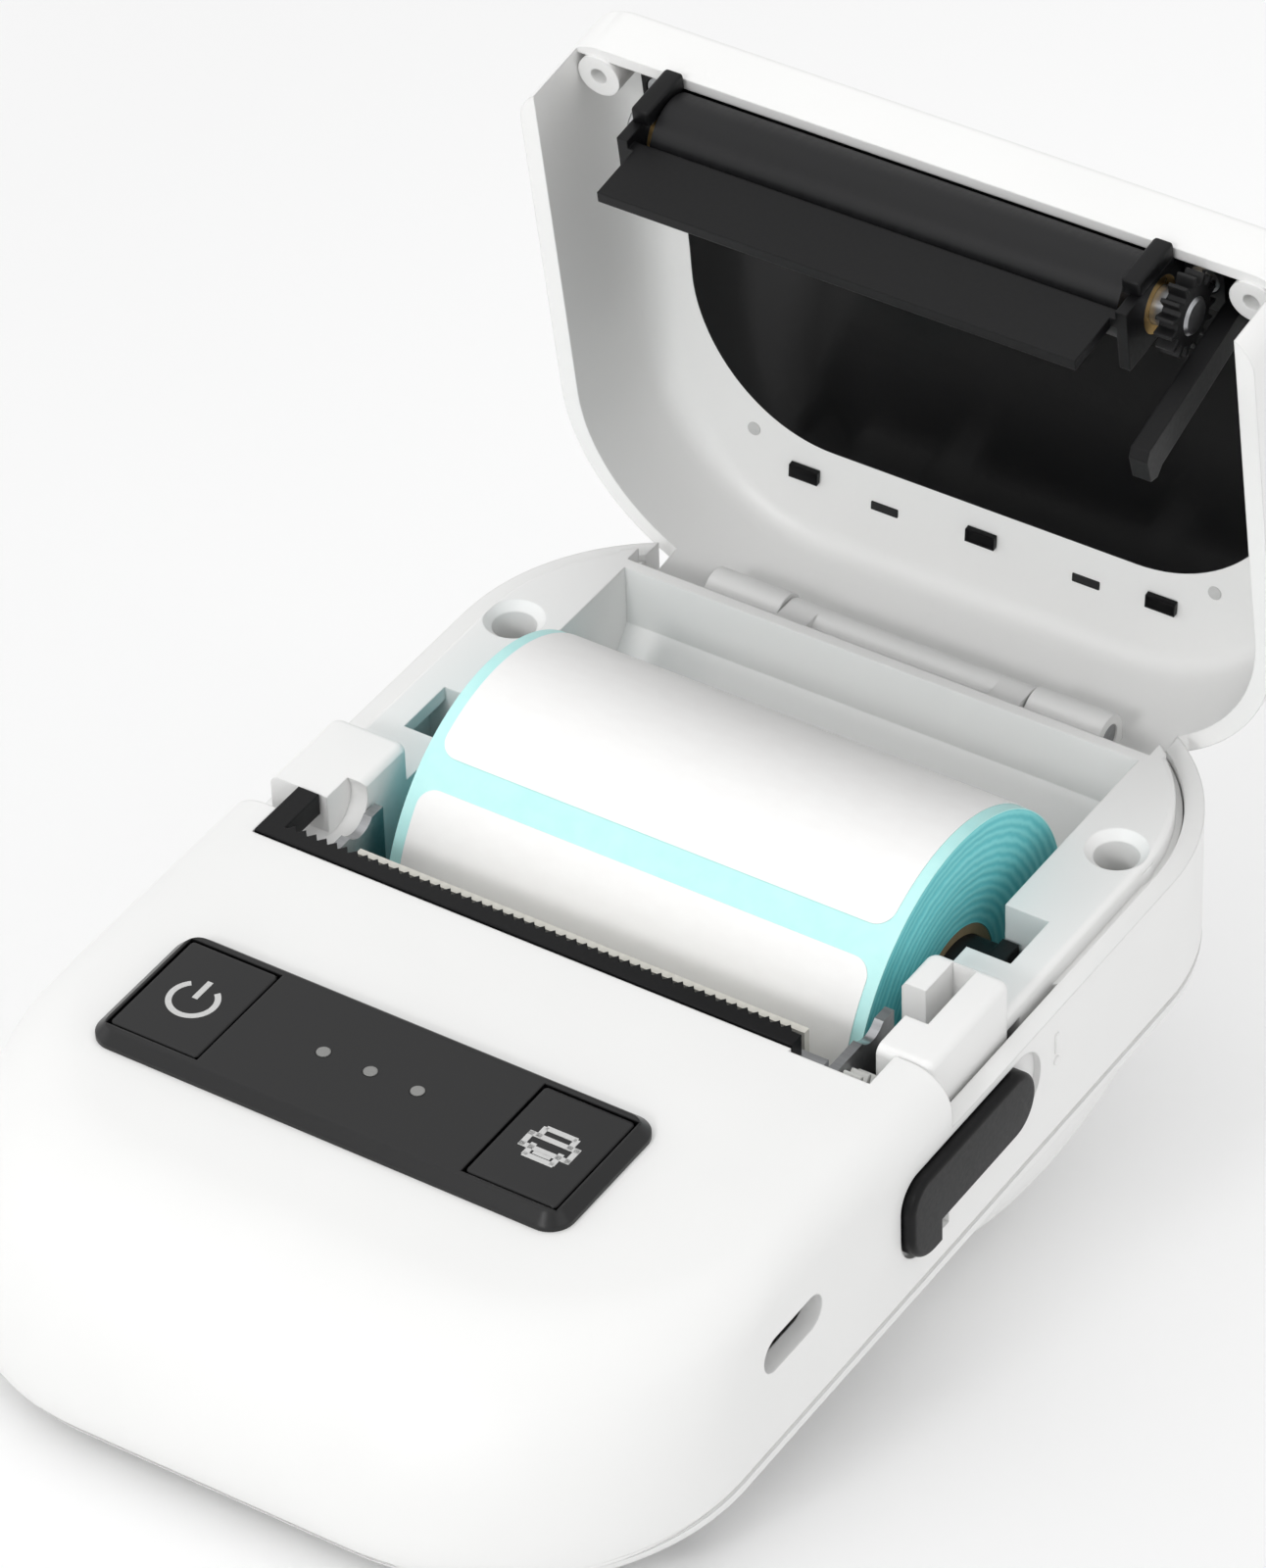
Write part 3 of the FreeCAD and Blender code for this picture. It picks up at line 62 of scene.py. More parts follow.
MM = 0.001
HINGE = Vector((0.0, 64.0, -8.8)) * MM
LID_SWING = -math.radians(JOINTS["lid_hinge"]["range_deg"][1])
ROLL_CENTRE = Vector((0.0, 28.8, -15.0)) * MM
ROLL_RADIUS, ROLL_HALF_WIDTH, ROLL_BORE = 19.5, 27.0, 7.55
LABEL_THICKNESS, LABEL_LIFT, LABEL_CUTS = 0.09, 0.02, 40
INK_HEIGHT = 0.06
AIM = (-0.00273, 0.00339, 0.0455)
POWER_KEY_X, FEED_KEY_X, KEY_Y = -24.75, 15.35, -24.65
LID_WALL_SLOPE = math.radians(-13.9)
SIDE_WALL_X, SIDE_MARK_Y = 41.25, 23.15
SEED = 11


def deck_frame():
    """Matrix from deck coordinates to the standing printer, from the lever's and the hinge's joints."""
    along = JOINTS["lever_slide"]["axis"]
    turn = Matrix.Rotation(math.atan2(along[2], along[1]), 4, "X")
    return Matrix.Translation(Vector(JOINTS["lid_hinge"]["pos_m"]) - turn @ HINGE) @ turn


def lid_frame():
    """Matrix from the shut lid's deck coordinates to the open lid."""
    return deck_frame() @ Matrix.Translation(HINGE) @ Matrix.Rotation(LID_SWING, 4, "X") @ Matrix.Translation(-HINGE)


# ---------------------------------------------------------------- colours and nodes
def linear(colour):
    """sRGB hex, such as 9FE3E4, to the linear RGBA that a socket takes."""
    parts = [int(colour[i:i + 2], 16) / 255 for i in (0, 2, 4)]
    return tuple(c / 12.92 if c <= 0.04045 else ((c + 0.055) / 1.055) ** 2.4 for c in parts) + (1.0,)


def add_node(tree, kind, settings=None, links=None):
    """A node with its properties and socket values, and links into its inputs."""
    node = tree.nodes.new(kind)
    for name, value in (settings or {}).items():
        if isinstance(name, int):
            node.inputs[name].default_value = value
        elif name in node.inputs and not hasattr(node, name):
            node.inputs[name].default_value = value
        else:
            setattr(node, name, value)
    for name, source in (links or {}).items():
        tree.links.new(source, node.inputs[name])
    return node


def new_material(name, colour, roughness, metallic=0.0, ior=1.5, **sockets):
    """A Principled material with its fixed sockets set; returns it with its tree, shader and object coordinates."""
    material = bpy.data.materials.new(name)
    material.use_nodes = True
    tree = material.node_tree
    tree.nodes.clear()
    shader = add_node(tree, "ShaderNodeBsdfPrincipled",
                      {"Base Color": linear(colour), "Roughness": roughness, "Metallic": metallic, "IOR": ior})
    for socket, value in sockets.items():
        shader.inputs[socket.replace("_", " ")].default_value = value
    add_node(tree, "ShaderNodeOutputMaterial", links={"Surface": shader.outputs[0]})
    place = add_node(tree, "ShaderNodeTexCoord").outputs["Object"]
    return material, tree, shader, place


def grain(tree, place, scale_mm, stretch=(1.0, 1.0, 1.0), detail=3.0):
    """Noise whose spots are scale_mm across, drawn out by stretch."""
    fitted = add_node(tree, "ShaderNodeMapping", {"Scale": tuple(1 / s for s in stretch)}, {"Vector": place})
    return add_node(tree, "ShaderNodeTexNoise", {"Scale": 1 / (scale_mm * MM), "Detail": detail, "Roughness": 0.55},
                    {"Vector": fitted.outputs[0]}).outputs["Fac"]


def roughness_from(tree, shader, value, low, high):
    spread = add_node(tree, "ShaderNodeMapRange", {"To Min": low, "To Max": high}, {"Value": value})
    tree.links.new(spread.outputs[0], shader.inputs["Roughness"])


def bump_from(tree, shader, value, depth_mm, strength=1.0, under=None):
    links = {"Height": value}
    if under is not None:
        links["Normal"] = under
    bump = add_node(tree, "ShaderNodeBump", {"Distance": depth_mm * MM, "Strength": strength}, links)
    tree.links.new(bump.outputs[0], shader.inputs["Normal"])


def tint_from(tree, shader, value, low, high):
    mix = add_node(tree, "ShaderNodeMix", {"data_type": "RGBA"})
    mix.inputs[6].default_value, mix.inputs[7].default_value = linear(low), linear(high)
    tree.links.new(value, mix.inputs[0])
    tree.links.new(mix.outputs[2], shader.inputs["Base Color"])


def moulded(name, light, dark, smooth, rough, depth_mm=0.012, ior=1.52, edge_mm=0.25, **sockets):
    """Injection-moulded plastic: fine spark-eroded texture, faint flow tint, softly rounded edges."""
    material, tree, shader, place = new_material(name, light, smooth, ior=ior, **sockets)
    tint_from(tree, shader, grain(tree, place, 14.0, detail=1.0), dark, light)
    fine = grain(tree, place, 0.5, detail=2.0)
    roughness_from(tree, shader, fine, smooth, rough)
    edges = add_node(tree, "ShaderNodeBevel", {"samples": 4, "Radius": edge_mm * MM})
    bump_from(tree, shader, fine, depth_mm, 0.5, edges.outputs[0])
    return material


def rolled_metal(name, light, dark, smooth, rough, stretch=(9.0, 1.0, 1.0)):
    """Sheet, turned or drawn metal: fine lines along the way it was worked."""
    material, tree, shader, place = new_material(name, light, smooth, metallic=1.0)
    lines = grain(tree, place, 0.5, stretch, 4.0)
    tint_from(tree, shader, lines, dark, light)
    roughness_from(tree, shader, lines, smooth, rough)
    bump_from(tree, shader, lines, 0.01, 0.4)
    return material


def coated_label():
    # Top-coated thermal paper: bright white, very slightly warm, low sheen with a faint fibre mottle.
    material, tree, shader, place = new_material("coated_thermal_paper", "F3F2F0", 0.42, ior=1.48)
    fibre = grain(tree, place, 1.2, (2.0, 1.0, 1.0))
    tint_from(tree, shader, fibre, "F0EFEE", "F5F5F4")
    roughness_from(tree, shader, fibre, 0.36, 0.5)
    bump_from(tree, shader, fibre, 0.01, 0.4)
    return material


def glassine_liner():
    # Dyed glassine backing paper: aqua, calendered smooth, with the wound layers showing as fine lines at its ends.
    material, tree, shader, place = new_material("dyed_glassine", "BFF0EE", 0.38, ior=1.48)
    fibre = grain(tree, place, 2.0)
    tint_from(tree, shader, fibre, "B4EAE9", "C6F3F0")
    roughness_from(tree, shader, fibre, 0.32, 0.46)
    bump_from(tree, shader, fibre, 0.01, 0.3)
    return material


def wound_edge():
    # The cut edges of many layers of dyed paper: deeper aqua rings with shadowed gaps.
    material, tree, shader, place = new_material("wound_paper_edge", "6FD0D4", 0.6)
    centre = deck_frame() @ ROLL_CENTRE
    centred = add_node(tree, "ShaderNodeMapping", {"Location": tuple(-centre)}, {"Vector": place})
    rings = add_node(tree, "ShaderNodeTexWave",
                     {"wave_type": "RINGS", "rings_direction": "X", "Scale": 0.32 / MM, "Distortion": 1.5,
                      "Detail": 2.0, "Detail Scale": 2.0}, {"Vector": centred.outputs[0]})
    tint_from(tree, shader, rings.outputs["Fac"], "62C6CC", "86DCDF")
    bump_from(tree, shader, rings.outputs["Fac"], 0.05, 0.5)
    return material


def ground_rubber():
    # Ground nitrile roller: black, matt, with a fine circumferential grind.
    material, tree, shader, place = new_material("ground_nitrile", "0B0B0C", 0.42, ior=1.52,
                                                  Specular_IOR_Level=0.3)
    lines = grain(tree, place, 0.6, (0.6, 6.0, 6.0), 4.0)
    tint_from(tree, shader, lines, "08080A", "101012")
    roughness_from(tree, shader, lines, 0.34, 0.52)
    bump_from(tree, shader, lines, 0.02, 0.5)
    return material


def circuit_laminate():
    # Glass-epoxy board under green solder mask: satin, with the tracks just raised.
    material, tree, shader, place = new_material("green_solder_mask", "0F4A2A", 0.35, ior=1.55)
    tracks = add_node(tree, "ShaderNodeTexBrick", {"Scale": 0.25 / MM, "Mortar Size": 0.03}, {"Vector": place})
    bump_from(tree, shader, tracks.outputs["Fac"], 0.03, 0.5)
    tint_from(tree, shader, tracks.outputs["Fac"], "0F4A2A", "1C6238")
    return material


def plain(name, light, dark, smooth, rough, scale_mm=2.0, **sockets):
    """A hidden or very small piece: tint and roughness vary a little."""
    material, tree, shader, place = new_material(name, light, smooth, **sockets)
    mottle = grain(tree, place, scale_mm)
    tint_from(tree, shader, mottle, dark, light)
    roughness_from(tree, shader, mottle, smooth, rough)
    return material


def make_finishes(sizes):
    """Every finish of the printer by the record's slot or by its own short name."""
    return {
        # White ABS, spark-textured mould: satin, so highlights are broad and edges stay soft.
        "white_abs": moulded("white_moulded_abs", sizes.housing_colour, "E9E9E8", 0.36, 0.46),
        # Black ABS, satin mould: near black, with a broad dull highlight.
        "black_plastic": moulded("black_moulded_abs", "08080A", "050506", 0.36, 0.5, Specular_IOR_Level=0.22),
        # Satin polycarbonate of the key panel: near black with a soft highlight.
        "panel_black": moulded("black_satin_polycarbonate", "101011", "0C0C0D", 0.26, 0.36, 0.004, 1.58, 0.35,
                               Specular_IOR_Level=0.36),
        "light_pipe": moulded("clear_polycarbonate", "8E8E8C", "7A7A78", 0.2, 0.3, 0.002, 1.58),
        "switch_black": moulded("black_nylon", "121213", "0C0C0D", 0.45, 0.6, Specular_IOR_Level=0.3),
        "circuit_board": circuit_laminate(),
        # Zinc-plated steel sheet: cool grey with rolling lines.
        "steel": rolled_metal("zinc_plated_steel", "B9BABC", "8F9092", 0.25, 0.42),
        "aluminium": rolled_metal("extruded_aluminium", "C6C7C9", "A5A6A8", 0.3, 0.45),
        "brass": rolled_metal("turned_brass", "C9A45C", "A8833F", 0.22, 0.36, (1.0, 4.0, 4.0)),
        "white_nylon": moulded("natural_nylon", "E7E7E4", "DEDEDA", 0.42, 0.55),
        "battery_wrap": plain("blue_shrink_wrap", "4C6A96", "415C86", 0.3, 0.4),
        "flex_amber": plain("amber_polyimide", "A9691F", "945815", 0.25, 0.35),
        "ceramic": plain("ground_alumina", "D9D7CF", "CBC9C0", 0.3, 0.45),
        "label_paper": glassine_liner(),
        "wound_edge": wound_edge(),
        "label_white": coated_label(),
        # Spiral-wound greyboard tube.
        "card": plain("wound_greyboard", "9A8468", "82704F", 0.75, 0.9, 0.8),
        "rubber": ground_rubber(),
        # Pad-printed ink: pale grey and dull.
        "icon_ink": plain("pale_grey_ink", "C9C9C8", "BDBDBC", 0.45, 0.6, 0.5),
        # Smoked acrylic window seen from inside.
        "smoked_acrylic": moulded("smoked_acrylic", "050506", "030304", 0.1, 0.18, 0.003, 1.49, 0.3,
                                  Specular_IOR_Level=0.2),
        # Painted shade: a flat near-black standing in for the shadow inside recesses.
        "painted_slot_shade": plain("unlit_recess", "1B1B1C", "121213", 0.7, 0.9),
    }


FINISH = {}
NODE_FINISH = {"panel_bezel": "panel_black", "power_button": "panel_black", "feed_button": "panel_black",
               "lid_window": "smoked_acrylic"}
SMOOTH_ANGLE = math.radians(28)


# ---------------------------------------------------------------- modelling helpers
def nothing_selected():
    if bpy.context.object and bpy.context.object.mode != "OBJECT":
        bpy.ops.object.mode_set(mode="OBJECT")
    bpy.ops.object.select_all(action="DESELECT")


def started(name):
    """Names the primitive just added and opens it for editing."""
    piece = bpy.context.object
    piece.name = piece.data.name = name
    bpy.ops.object.mode_set(mode="EDIT")
    return piece


def choose(piece, test, kind="faces"):
    """Selects only the faces or vertices whose middle and normal pass the test."""
    bpy.ops.mesh.select_all(action="DESELECT")
    mesh = bmesh.from_edit_mesh(piece.data)
    bpy.context.tool_settings.mesh_select_mode = (kind == "verts", False, kind == "faces")
    found = 0
    for part in getattr(mesh, kind):
        if kind == "faces":
            hit = test(part.calc_center_median(), part.normal)
        else:
            hit = test(part.co, part.normal)
        if hit:
            part.select_set(True)
            found += 1
    mesh.select_flush(True)
    bmesh.update_edit_mesh(piece.data)
    if not found:
        raise RuntimeError(f"nothing to select on {piece.name}")


def apply_modifier(piece, kind, **settings):
    modifier = piece.modifiers.new(kind.title(), kind)
    for name, value in settings.items():
        setattr(modifier, name, value)
    bpy.ops.object.modifier_apply(modifier=modifier.name)


def rounded(piece, width_mm, segments=3, angle=30):
    apply_modifier(piece, "BEVEL", width=width_mm * MM, segments=segments, limit_method="ANGLE",
                   angle_limit=math.radians(angle), harden_normals=False)


def settled(piece, where, body, slot, finish=None, smooth=True):
    """Lays the finished mesh in the row frame, gives it its material and lets it ride on its body."""
    if piece.mode != "OBJECT":
        bpy.ops.object.mode_set(mode="OBJECT")
    nothing_selected()
    piece.select_set(True)
    bpy.context.view_layer.objects.active = piece
    piece.matrix_world = where @ piece.matrix_world
    bpy.ops.object.transform_apply(location=True, rotation=True, scale=True)
    if smooth:
        bpy.ops.object.shade_smooth_by_angle(angle=SMOOTH_ANGLE)
    if not piece.data.materials:
        piece.data.materials.append(FINISH[finish or slot])
    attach(piece, body)
    nothing_selected()
    return piece


def block(name, size, centre, bevel=0.0, segments=3):
    """A block with rounded edges, in deck millimetres."""
    nothing_selected()
    bpy.ops.mesh.primitive_cube_add(size=1, location=Vector(centre) * MM, scale=Vector(size) * MM)
    piece = started(name)
    bpy.ops.object.mode_set(mode="OBJECT")
    bpy.ops.object.transform_apply(location=True, rotation=False, scale=True)
    if bevel:
        rounded(piece, bevel, segments)
    return piece


def disc(name, radius, depth, centre, axis="Z", sides=48, bevel=0.0):
    """A round piece along one axis, in deck millimetres."""
    turn = {"X": (0, math.pi / 2, 0), "Y": (math.pi / 2, 0, 0), "Z": (0, 0, 0)}[axis]
    nothing_selected()
    bpy.ops.mesh.primitive_cylinder_add(vertices=sides, radius=radius * MM, depth=depth * MM,
                                        location=Vector(centre) * MM, rotation=turn)
    piece = started(name)
    bpy.ops.object.mode_set(mode="OBJECT")
    bpy.ops.object.transform_apply(location=True, rotation=True, scale=True)
    if bevel:
        rounded(piece, bevel, 3, 50)
    return piece


def joined(name, pieces):
    nothing_selected()
    for piece in pieces:
        piece.select_set(True)
    bpy.context.view_layer.objects.active = pieces[0]
    bpy.ops.object.join()
    pieces[0].name = pieces[0].data.name = name
    return pieces[0]


# ---------------------------------------------------------------- settings
class PrinterSizes(bpy.types.PropertyGroup):
    """Sizes and colours of the fine pieces."""
    housing_colour: StringProperty(name="Housing", description="sRGB hex of the white housing", default="EDEDEC")
    label_width: FloatProperty(name="Label width", description="Width of one label", default=51.4 * MM, unit="LENGTH")
    label_length: FloatProperty(name="Label length", description="Length of one label round the roll",
                                default=30.0 * MM, unit="LENGTH")
    label_gap: FloatProperty(name="Label gap", description="Bare backing between labels", default=3.4 * MM,
                             unit="LENGTH")
    label_corner: FloatProperty(name="Label corner", description="Corner radius of a label", default=2.0 * MM,
                                unit="LENGTH")
    gap_angle: FloatProperty(name="Gap angle", description="Where the front gap is, up from the back",
                             default=math.radians(129), subtype="ANGLE")
    roll_layers: IntProperty(name="Edge steps", description="Steps that show in each end of the roll", default=14)
    icon_line: FloatProperty(name="Icon line", description="Line width of the key symbols", default=0.62 * MM,
                             unit="LENGTH")


class StudioSettings(bpy.types.PropertyGroup):
    """Camera and light of the plain studio."""
    azimuth: FloatProperty(name="Azimuth", description="Camera to the right of the front", subtype="ANGLE",
                           default=math.radians(30.217))
    elevation: FloatProperty(name="Elevation", description="Camera above the floor", subtype="ANGLE",
                             default=math.radians(30.84))
    roll: FloatProperty(name="Roll", description="Turn of the camera about its view", subtype="ANGLE",
                        default=math.radians(4.683))
    distance: FloatProperty(name="Distance", description="Camera to aim", default=0.78122, unit="LENGTH")
    lens: FloatProperty(name="Lens", description="Focal length in millimetres", default=187.54)
    key_power: FloatProperty(name="Key light", description="Power of the large top light", default=1.2, unit="POWER")
    fill_power: FloatProperty(name="Fill light", description="Power of each side light", default=0.6, unit="POWER")
    front_power: FloatProperty(name="Front light", description="Power of the low light in front",
                               default=0.9, unit="POWER")
    lid_power: FloatProperty(name="Lid light", description="Power of the snooted lamp on the lid's inside",
                             default=16.0, unit="POWER")
    backdrop: FloatProperty(name="Backdrop", description="Brightness of the surroundings", default=0.84)


# ---------------------------------------------------------------- pieces
class PRINTER_OT_finishes(bpy.types.Operator):
    """Gives every CAD node its finish and smooth shading across its curved faces."""
    bl_idname = "printer.finishes"
    bl_label = "Finishes"

    def execute(self, context):
        FINISH.update(make_finishes(context.scene.printer_sizes))
        slots = {part["node"]: part["material_slot"] for part in frame["record"]["subparts"]}
        for name, node in frame["nodes"].items():
            node.data.materials.clear()
            node.data.materials.append(FINISH[NODE_FINISH.get(name, slots[name])])
            nothing_selected()
            node.select_set(True)
            context.view_layer.objects.active = node
            if node.data.has_custom_normals:
                bpy.ops.mesh.customdata_custom_splitnormals_clear()
            node.data.polygons.foreach_set("use_smooth", [True] * len(node.data.polygons))
            weld = node.modifiers.new("Weld", "WELD")
            weld.merge_threshold = 0.002 * MM
            split = node.modifiers.new("Crease", "EDGE_SPLIT")
            split.split_angle = SMOOTH_ANGLE
            split.use_edge_sharp = False
        nothing_selected()
        return {"FINISHED"}


class PRINTER_OT_label_roll(bpy.types.Operator):
    """The roll's backing paper with its wound ends, and the labels on its outside."""
    bl_idname = "printer.label_roll"
    bl_label = "Label roll"

    def execute(self, context):
        sizes = context.scene.printer_sizes
        radius, half, bore = ROLL_RADIUS, ROLL_HALF_WIDTH, ROLL_BORE
        draw = random.Random(SEED)
        roll = disc("label_roll_backing", radius, 2 * half, ROLL_CENTRE / MM, "X", 144)
        bpy.ops.object.mode_set(mode="EDIT")
        step = (radius - bore) / sizes.roll_layers
        for side in (-1, 1):
            choose(roll, lambda middle, normal: normal.x * side > 0.9)
            for layer in range(sizes.roll_layers):
                bpy.ops.mesh.inset(thickness=0.12 * step * MM, depth=0)
                bpy.ops.mesh.inset(thickness=0.88 * step * MM, depth=0)
                slip = draw.uniform(-0.12, 0.1) * MM * side
                if layer < sizes.roll_layers - 1:
                    bpy.ops.transform.translate(value=(slip if layer % 2 else -abs(slip) * side, 0, 0))
        ends = lambda middle, normal: abs(normal.x) > 0.9 and (middle - ROLL_CENTRE).yz.length < 0.5 * MM
        choose(roll, ends)
        bpy.ops.mesh.bridge_edge_loops()
        bpy.ops.mesh.select_all(action="SELECT")
        bpy.ops.mesh.normals_make_consistent(inside=False)
        bpy.ops.object.mode_set(mode="OBJECT")
        roll.data.materials.append(FINISH["label_paper"])
        roll.data.materials.append(FINISH["wound_edge"])
        for face in roll.data.polygons:
            away = (Vector(face.center) - ROLL_CENTRE.copy()).yz.length
            face.material_index = 1 if away < (radius - 0.1) * MM else 0
        settled(roll, deck_frame(), "roll", "label_paper")
        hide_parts("label_roll")
        pitch = (sizes.label_length + sizes.label_gap) / (radius * MM)
        first = sizes.gap_angle - (sizes.label_gap / 2 + sizes.label_length) / (radius * MM)
        for index in range(3):
            self.label(f"label_{index}", sizes, radius, first + (index * pitch if index < 2 else -pitch))
        return {"FINISHED"}

    def label(self, name, sizes, radius, start):
        """One label, laid out flat, rounded at its corners, cut across and wound on to the roll."""
        nothing_selected()
        bpy.ops.mesh.primitive_plane_add(size=1, location=(0, 0, 0))
        piece = started(name)
        bpy.ops.transform.resize(value=(sizes.label_width, sizes.label_length, 1))
        choose(piece, lambda place, normal: True, "verts")
        bpy.ops.mesh.bevel(affect="VERTICES", offset=sizes.label_corner, segments=8)
        for index in range(1, LABEL_CUTS):
            bpy.ops.mesh.select_all(action="SELECT")
            bpy.ops.mesh.bisect(plane_co=(0, sizes.label_length * (index / LABEL_CUTS - 0.5), 0), plane_no=(0, 1, 0))
        bpy.ops.object.mode_set(mode="OBJECT")
        apply_modifier(piece, "SOLIDIFY", thickness=LABEL_THICKNESS * MM, offset=1.0)
        for point in piece.data.vertices:
            angle = start + (point.co.y + sizes.label_length / 2) / (radius * MM)
            reach = radius * MM + LABEL_LIFT * MM + point.co.z
            point.co = Vector((point.co.x, math.cos(angle) * reach, math.sin(angle) * reach)) + ROLL_CENTRE
        nothing_selected()
        piece.select_set(True)
        bpy.context.view_layer.objects.active = piece
        bpy.ops.object.mode_set(mode="EDIT")
        bpy.ops.mesh.select_all(action="SELECT")
        bpy.ops.mesh.normals_make_consistent(inside=False)
        settled(piece, deck_frame(), "roll", "label_paper", "label_white")


class PRINTER_OT_key_symbols(bpy.types.Operator):
    """Generic power and paper symbols printed on the two keys."""
    bl_idname = "printer.key_symbols"
    bl_label = "Key symbols"

    def execute(self, context):
        line = context.scene.printer_sizes.icon_line / MM
        top = self.top_of("power_button")
        left, right, middle = POWER_KEY_X, FEED_KEY_X, KEY_Y
        ring = self.ring("power_symbol_ring", (left, middle - 0.2, top), 2.35, line)
        bar = block("power_symbol_bar", (line, 2.7, INK_HEIGHT), (left, middle + 1.35, top), 0.02, 1)
        settled(joined("power_symbol", [ring, bar]), deck_frame(), "power_key", "black_gloss", "icon_ink")
        bars = [(0, 1.9, 3.4, line), (-1.7, 1.2, line, 1.6), (1.7, 1.2, line, 1.6),
                (0, 0.65, 5.6, line), (0, -1.0, 5.6, line), (-2.5, -0.2, line, 2.2), (2.5, -0.2, line, 2.2),
                (0, -2.1, 3.4, line), (-1.5, -1.3, line, 1.8), (1.5, -1.3, line, 1.8), (0, -1.45, 1.9, line * 0.8)]
        pieces = [block(f"paper_symbol_{i}", (w, h, INK_HEIGHT), (right + x, middle + y, top), 0.02, 1)
                  for i, (x, y, w, h) in enumerate(bars)]
        settled(joined("paper_symbol", pieces), deck_frame(), "feed_key", "black_gloss", "icon_ink")
        return {"FINISHED"}

    def top_of(self, node):
        """Height of the key's top face above the deck, in millimetres."""
        back = deck_frame().inverted()
        return max((back @ v.co).z for v in frame["nodes"][node].data.vertices) / MM + 0.01

    def ring(self, name, centre, radius, line):
        """A flat ring with a gap at its back."""
        nothing_selected()
        bpy.ops.mesh.primitive_circle_add(vertices=64, radius=(radius - line / 2) * MM, fill_type="NOTHING",
                                          location=Vector(centre) * MM)
        piece = started(name)
        bpy.ops.mesh.extrude_region()
        grow = (radius + line / 2) / (radius - line / 2)
        bpy.ops.transform.resize(value=(grow, grow, 1), center_override=Vector(centre) * MM)
        choose(piece, lambda place, normal: abs(math.atan2(place.x, place.y)) < math.radians(38))
        bpy.ops.mesh.delete(type="FACE")
        bpy.ops.object.mode_set(mode="OBJECT")
        apply_modifier(piece, "SOLIDIFY", thickness=INK_HEIGHT * MM, offset=0.0)
        return piece


class PRINTER_OT_lid_details(bpy.types.Operator):
    """Snap slots, gate marks and the roller carrier's dark ends inside the lid."""
    bl_idname = "printer.lid_details"
    bl_label = "Lid details"

    def execute(self, context):
        lid = lid_frame()
        slope = Matrix.Rotation(LID_WALL_SLOPE, 4, "X")
        # The snap slots are thin near-black blocks on the lid wall: painted shade in place of the shadowed slots.
        for name, centre, size in (("left_snap_slot", (-11.5, 60.3, 5.94), (3.2, 1.0, 0.3)),
                                   ("right_snap_slot", (12.2, 60.1, 6.0), (3.2, 1.0, 0.3))):
            slot = block(name, size, (0, 0, 0), 0.12, 2)
            settled(slot, lid @ Matrix.Translation(Vector(centre) * MM) @ slope, "lid", "black_plastic", "painted_slot_shade")
        for name, centre in (("left_gate_mark", (-27.3, 56.4, 6.85)), ("right_gate_mark", (26.8, 56.0, 6.93))):
            mark = disc(name, 0.75, 0.3, (0, 0, 0), "Z", 24, 0.08)
            settled(mark, lid @ Matrix.Translation(Vector(centre) * MM) @ slope, "lid", "black_plastic", "icon_ink")
        for side, name in ((-1, "left"), (1, "right")):
            horn = block(f"{name}_carrier_horn", (2.1, 2.0, 6.6), (side * 27.45, 4.3, -1.6), 0.4, 3)
            settled(horn, lid, "lid", "black_plastic")
        return {"FINISHED"}


class PRINTER_OT_side_mark(bpy.types.Operator):
    """Raised mark on the right wall: a short bar over a dot."""
    bl_idname = "printer.side_mark"
    bl_label = "Side mark"

    def execute(self, context):
        bar = block("side_mark_bar", (0.3, 0.7, 2.4), (SIDE_WALL_X, SIDE_MARK_Y, -10.0), 0.12, 2)
        dot = disc("side_mark_dot", 0.5, 0.3, (SIDE_WALL_X, SIDE_MARK_Y, -12.2), "X", 24, 0.1)
        settled(joined("side_mark", [bar, dot]), deck_frame(), "housing", "white_abs")
        return {"FINISHED"}


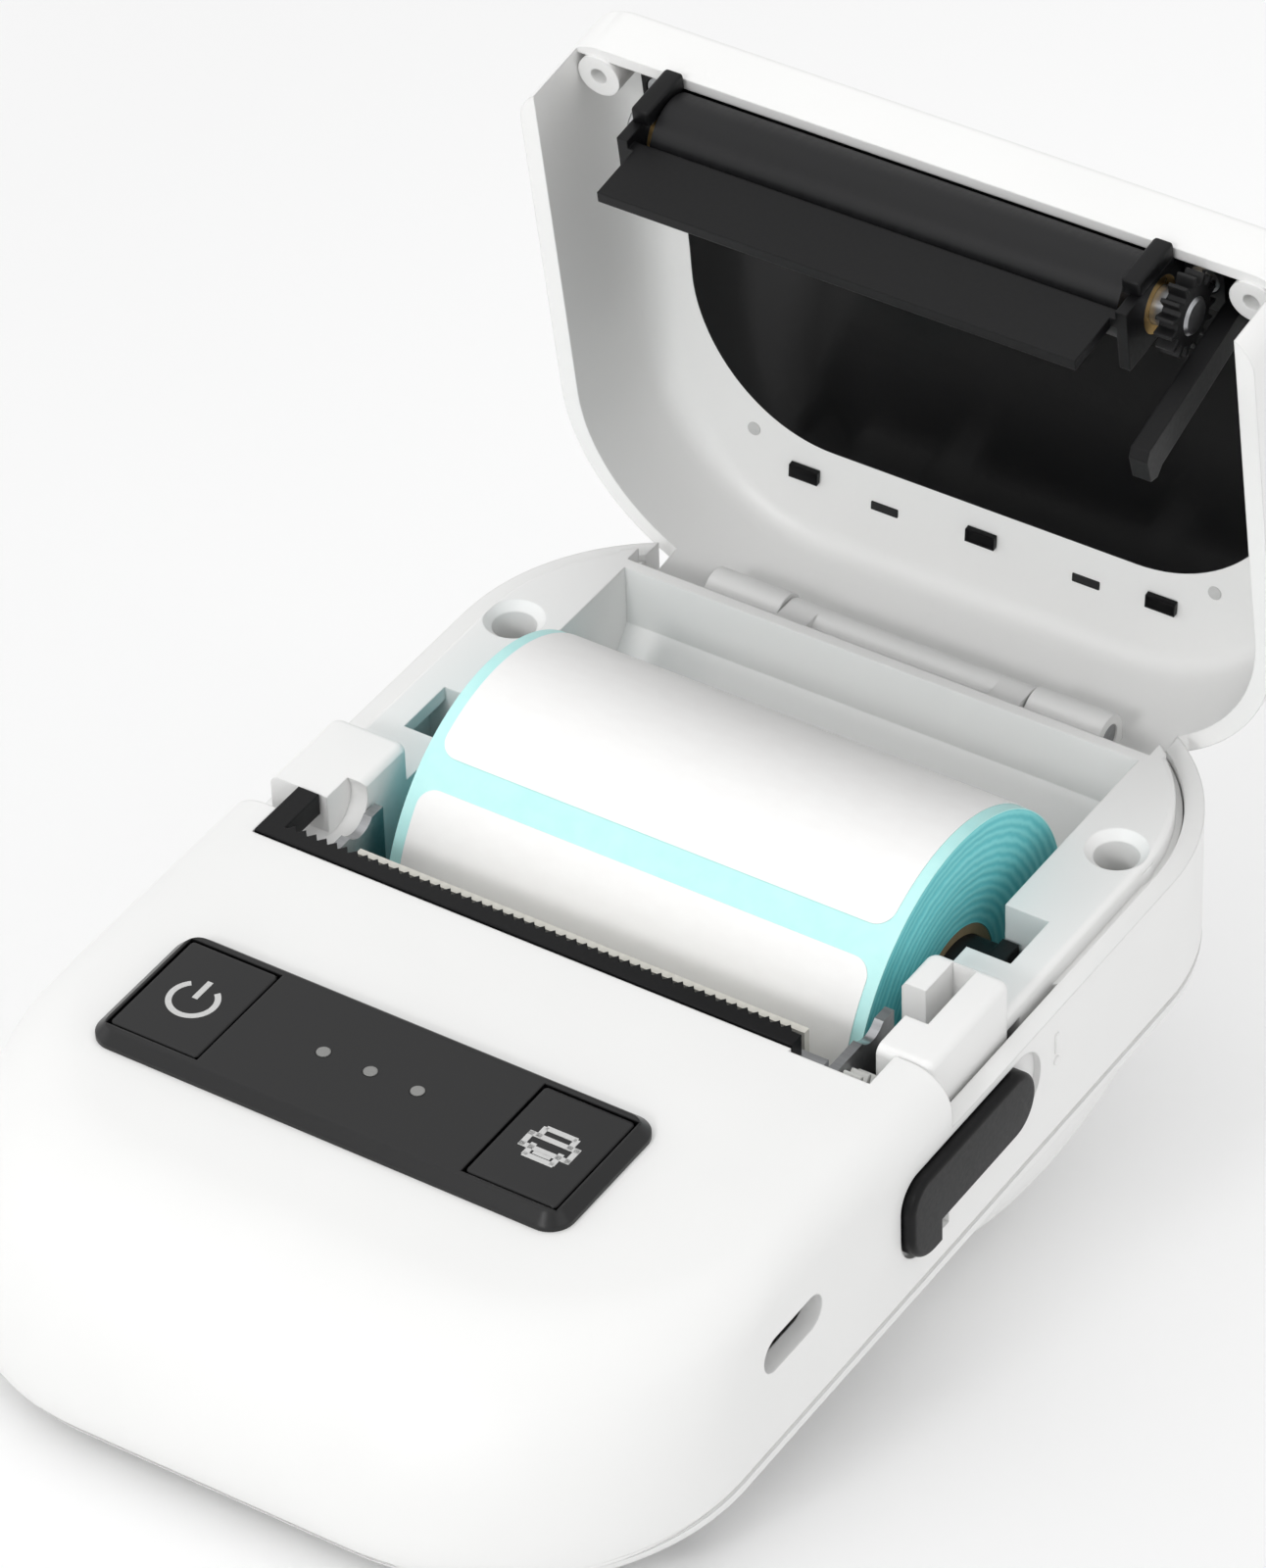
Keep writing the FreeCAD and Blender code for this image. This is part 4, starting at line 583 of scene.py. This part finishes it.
class PRINTER_OT_studio(bpy.types.Operator):
    """Pale floor, soft light and the camera."""
    bl_idname = "printer.studio"
    bl_label = "Studio"

    def execute(self, context):
        studio = context.scene.printer_studio
        self.floor()
        self.light("top_light", (-0.15, -0.1, 0.85), (0, 0, 0.03), 0.9, studio.key_power)
        self.light("left_light", (-0.75, -0.45, 0.45), (0, 0, 0.04), 0.6, studio.fill_power)
        self.light("right_light", (0.8, -0.2, 0.5), (0, 0, 0.04), 0.6, studio.fill_power)
        self.light("front_light", (0.1, -0.9, 0.22), (0, 0.03, 0.07), 0.6, studio.front_power)
        self.snoot("lid_light", (-0.05, -0.62, 0.36), (0, 0.045, 0.078), math.radians(13), studio.lid_power)
        world = bpy.data.worlds.new("studio_world")
        world.use_nodes = True
        background = world.node_tree.nodes["Background"]
        background.inputs["Color"].default_value = linear("FBFBFB")
        background.inputs["Strength"].default_value = studio.backdrop
        context.scene.world = world
        context.scene.view_settings.view_transform = "Standard"
        self.camera(context, studio)
        return {"FINISHED"}

    def floor(self):
        nothing_selected()
        bpy.ops.mesh.primitive_plane_add(size=12, location=(0, 0, -0.0002))
        floor = bpy.context.object
        floor.name = "studio_floor"
        # Matt seamless paper.
        material, tree, shader, place = new_material("seamless_paper", "FAFAFA", 0.8)
        roughness_from(tree, shader, grain(tree, place, 3.0), 0.75, 0.9)
        floor.data.materials.append(material)

    def light(self, name, place, aim, size, power):
        bpy.ops.object.light_add(type="AREA", location=place)
        lamp = bpy.context.object
        lamp.name = name
        lamp.data.size = size
        lamp.data.energy = power
        lamp.rotation_euler = (Vector(aim) - Vector(place)).to_track_quat("-Z", "Y").to_euler()

    def snoot(self, name, place, aim, cone, power):
        """A narrow lamp with a soft edge."""
        bpy.ops.object.light_add(type="SPOT", location=place)
        lamp = bpy.context.object
        lamp.name = name
        lamp.data.energy = power
        lamp.data.spot_size, lamp.data.spot_blend, lamp.data.shadow_soft_size = cone, 0.8, 0.12
        lamp.rotation_euler = (Vector(aim) - lamp.location).to_track_quat("-Z", "Y").to_euler()

    def camera(self, context, studio):
        bpy.ops.object.camera_add()
        camera = bpy.context.object
        camera.name = "studio_camera"
        camera.data.lens = studio.lens
        camera.data.clip_end = 50
        az, el = studio.azimuth, studio.elevation
        back = Vector((math.sin(az) * math.cos(el), -math.cos(az) * math.cos(el), math.sin(el)))
        right = Vector((math.cos(az), math.sin(az), 0))
        up = back.cross(right)
        turned_right = right * math.cos(studio.roll) + up * math.sin(studio.roll)
        turned_up = back.cross(turned_right)
        turn = Matrix((turned_right, turned_up, back)).transposed().to_4x4()
        aim = Vector(AIM)
        camera.matrix_world = Matrix.Translation(aim + back * studio.distance) @ turn
        context.scene.camera = camera


OPERATORS = (PRINTER_OT_finishes, PRINTER_OT_label_roll, PRINTER_OT_key_symbols, PRINTER_OT_lid_details,
             PRINTER_OT_side_mark, PRINTER_OT_studio)


class PRINTER_PT_panel(bpy.types.Panel):
    """Lists the printer's pieces and their settings."""
    bl_label = "Label printer"
    bl_idname = "PRINTER_PT_panel"
    bl_space_type = "VIEW_3D"
    bl_region_type = "UI"
    bl_category = "Printer"

    def draw(self, context):
        for group in (context.scene.printer_sizes, context.scene.printer_studio):
            for name in group.__annotations__:
                self.layout.prop(group, name)
        for operator in OPERATORS:
            self.layout.operator(operator.bl_idname)


CLASSES = (PrinterSizes, StudioSettings) + OPERATORS + (PRINTER_PT_panel,)


def register():
    for cls in CLASSES:
        bpy.utils.register_class(cls)
    bpy.types.Scene.printer_sizes = PointerProperty(type=PrinterSizes)
    bpy.types.Scene.printer_studio = PointerProperty(type=StudioSettings)


def unregister():
    del bpy.types.Scene.printer_studio
    del bpy.types.Scene.printer_sizes
    for cls in reversed(CLASSES):
        bpy.utils.unregister_class(cls)


def main():
    register()
    for operator in OPERATORS:
        group, name = operator.bl_idname.split(".")
        getattr(getattr(bpy.ops, group), name)()


if __name__ == "__main__":
    main()
